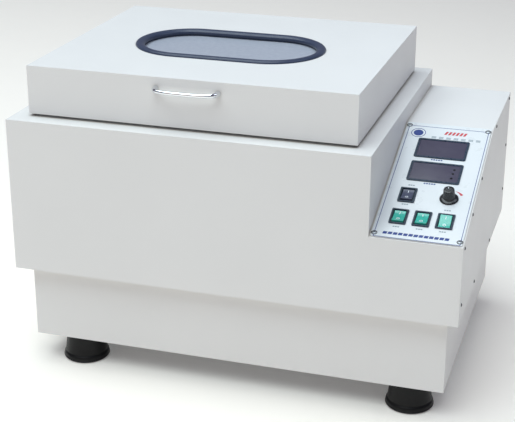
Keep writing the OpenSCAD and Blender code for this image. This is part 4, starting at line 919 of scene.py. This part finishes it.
# Coil springs that draw each clamp's four arms together
def springTree():
    tree, given = newTree("ringSprings", {"Ring Radius": 42.3 * mm, "Coil Radius": 1.9 * mm,
        "Wire Radius": 0.45 * mm, "Turns": 90, "Steps": 8, "Finish": "Material"})
    count = addNode(tree, "ShaderNodeMath", {"operation": "MULTIPLY"},
        {"Value": given["Turns"], "Value_001": given["Steps"]}).outputs[0]
    path = addNode(tree, "GeometryNodeCurvePrimitiveCircle", {"mode": "RADIUS"},
        {"Resolution": count, "Radius": given["Ring Radius"]})
    place = addNode(tree, "GeometryNodeInputPosition").outputs[0]
    outward = addNode(tree, "ShaderNodeVectorMath", {"operation": "NORMALIZE"},
        {"Vector": place}).outputs[0]
    order = addNode(tree, "GeometryNodeInputIndex").outputs[0]
    whole = addNode(tree, "ShaderNodeMath", {"operation": "MULTIPLY"},
        {"Value": order, "Value_001": 2 * math.pi}).outputs[0]
    angle = addNode(tree, "ShaderNodeMath", {"operation": "DIVIDE"},
        {"Value": whole, "Value_001": given["Steps"]}).outputs[0]
    reaches = []
    for operation in ("COSINE", "SINE"):
        share = addNode(tree, "ShaderNodeMath", {"operation": operation}, {"Value": angle})
        reaches.append(addNode(tree, "ShaderNodeMath", {"operation": "MULTIPLY"},
            {"Value": share.outputs[0], "Value_001": given["Coil Radius"]}).outputs[0])
    out, rise = reaches
    level = addNode(tree, "ShaderNodeVectorMath", {"operation": "SCALE"},
        {"Vector": outward, "Scale": out}).outputs[0]
    lift = addNode(tree, "ShaderNodeCombineXYZ", inputs={"Z": rise}).outputs[0]
    shift = addNode(tree, "ShaderNodeVectorMath", {"operation": "ADD"},
        {"Vector": level, "Vector_001": lift}).outputs[0]
    coiled = addNode(tree, "GeometryNodeSetPosition",
        inputs={"Geometry": path.outputs["Curve"], "Offset": shift})
    wire = addNode(tree, "GeometryNodeCurvePrimitiveCircle", {"mode": "RADIUS"},
        {"Resolution": 6, "Radius": given["Wire Radius"]})
    coil = addNode(tree, "GeometryNodeCurveToMesh",
        inputs={"Curve": coiled.outputs[0], "Profile Curve": wire.outputs["Curve"]})
    closeTree(tree, instancesFacing(tree, given["Geometry"], coil.outputs[0]), given["Finish"])
    return tree

springHeight = 309.8  # round the clamps' necks
springPlaces = [(Vector((spot.x, spot.y, springHeight * mm)), upwards) for spot in clampSpots]
springs = grow("clampSprings", pointMesh("springs", springPlaces), springTree(),
    {"Finish": finishes["brushedStainless"]})
settle(springs, "platform", None, ())

# Ball bearings: grooved rings with a circle of balls between them
def ballTree():
    tree, given = newTree("ballCircle", {"Pitch Radius": 14 * mm, "Ball Radius": 2.4 * mm,
        "Balls": 12, "Finish": "Material"})
    circle = addNode(tree, "GeometryNodeMeshCircle",
        inputs={"Vertices": given["Balls"], "Radius": given["Pitch Radius"]})
    ball = addNode(tree, "GeometryNodeMeshIcoSphere",
        inputs={"Radius": given["Ball Radius"], "Subdivisions": 3})
    row = addNode(tree, "GeometryNodeInstanceOnPoints",
        inputs={"Points": circle.outputs[0], "Instance": ball.outputs[0]})
    closeTree(tree, instancesFacing(tree, given["Geometry"], row.outputs[0]), given["Finish"])
    return tree

bearings = {
    "shaft_bearings": dict(bore=8.55, outer=20, height=12, balls=10, ball=2.9),
    "hub_bearing": dict(bore=5.05, outer=13, height=8, balls=8, ball=1.9)}
ballCircle = ballTree()

# Inner and outer rings, each with the balls' groove in the wall that faces the other
def buildRaces(bearing, centres):
    bore, outer, ball, half = (bearing["bore"], bearing["outer"], bearing["ball"],
        bearing["height"] / 2)
    pitch, shoulder = (bore + outer) / 2, ball * 0.62
    turns = [math.radians(-50 + 12.5 * i) for i in range(9)]
    groove = [(ball * math.cos(t), ball * math.sin(t) * 0.99) for t in turns]

    def build(work):
        for centre in centres:
            spot, z = (centre.x / mm, centre.y / mm), centre.z / mm
            for side, wall in ((-1, bore), (1, outer)):
                profile = [(wall, z - half), (pitch + side * shoulder, z - half)]
                profile += [(pitch + side * out, z + rise) for out, rise in groove]
                profile += [(pitch + side * shoulder, z + half), (wall, z + half)]
                sweep(work, profile, circleStations(spot))
    return build

for node, bearing in bearings.items():
    body = cadNodes[node]["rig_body"]
    centres = [middle(points) for points in islands(node)]
    settle(newObject(camelName(node), meshFrom(node, buildRaces(bearing, centres))), body,
        "bearingSteel", [node])
    row = grow(camelName(node) + "Balls", pointMesh(node, [(c, upwards) for c in centres]),
        ballCircle, {"Pitch Radius": (bearing["bore"] + bearing["outer"]) / 2 * mm,
            "Ball Radius": bearing["ball"] * mm, "Balls": bearing["balls"],
            "Finish": finishes["bearingSteel"]})
    settle(row, body, None, ())
print("repeated pieces made")

# Camera: its place in metres, and its angles in degrees
view = {"place": (0.5635, -1.9088, 0.9978), "turn": 17.18, "down": 21.574, "roll": 0.15,
    "lens": 90.32}
camera = bpy.data.objects.new("camera", bpy.data.cameras.new("camera"))
bpy.context.scene.collection.objects.link(camera)
camera.data.lens = view["lens"]
camera.data.sensor_width = 36
turn, down, roll = (math.radians(view[key]) for key in ("turn", "down", "roll"))
back = Vector((math.sin(turn) * math.cos(down), -math.cos(turn) * math.cos(down), math.sin(down)))
across = Vector((math.cos(turn), math.sin(turn), 0))
upward = back.cross(across)
tilted = across * math.cos(roll) + upward * math.sin(roll)
camera.matrix_world = Matrix.Translation(view["place"]) @ Matrix(
    (tilted, back.cross(tilted), back)).transposed().to_4x4()
bpy.context.scene.camera = camera

# Soft area lights, aimed at a point, that the camera doesn't see
def softbox(name, place, aim, size, power, shade):
    lamp = bpy.data.objects.new(name, bpy.data.lights.new(name, "AREA"))
    lamp.data.shape = "RECTANGLE"
    lamp.data.size, lamp.data.size_y = size
    lamp.data.energy = power
    lamp.data.color = colour(shade)[:3]
    lamp.location = place
    lamp.rotation_euler = (Vector(aim) - Vector(place)).to_track_quat("-Z", "Y").to_euler()
    lamp.visible_camera = False
    bpy.context.scene.collection.objects.link(lamp)

# Places and sizes in metres, power in watts
lights = {
    "overhead": dict(place=(-1.1, -1.35, 4.5), aim=(-0.9, -1.25, 0.3), size=(6.4, 4.6),
        power=345, shade="#e6f2f5"),
    "front": dict(place=(-0.8, -3.6, 1.3), aim=(0, 0, 0.2), size=(2.4, 1.6), power=3.2,
        shade="#ffb070"),
    "lidSide": dict(place=(0.8, 0, 1.35), aim=(0.2, 0, 0.35), size=(0.6, 0.6), power=2.4,
        shade="#e6f0ff")}
for name, light in lights.items():
    softbox(name, **light)
world = bpy.data.worlds.new("studio")
bpy.context.scene.world = world
world.use_nodes = True
world.node_tree.nodes.clear()
sky = addNode(world.node_tree, "ShaderNodeBackground",
    inputs={"Color": colour("#d8d3ec"), "Strength": 0.22})
addNode(world.node_tree, "ShaderNodeOutputWorld", inputs={"Surface": sky.outputs[0]})
bpy.context.scene.view_settings.view_transform = "Standard"

floor = newObject("floor", meshFrom("floor", lambda work: bmesh.ops.create_grid(
    work, x_segments=1, y_segments=1, size=9)))
floor.data.materials.append(makeFinish("paleFloor", dict(shades=("#fbf5ec", "#f7f1e8"),
    drift=900, roughness=(0.7, 0.8), patch=50, reliefs=[(30, 0.01)],
    sockets={"Emission Color": colour("#ffffff"), "Emission Strength": 0.11})))
print("camera, lights and floor ready")
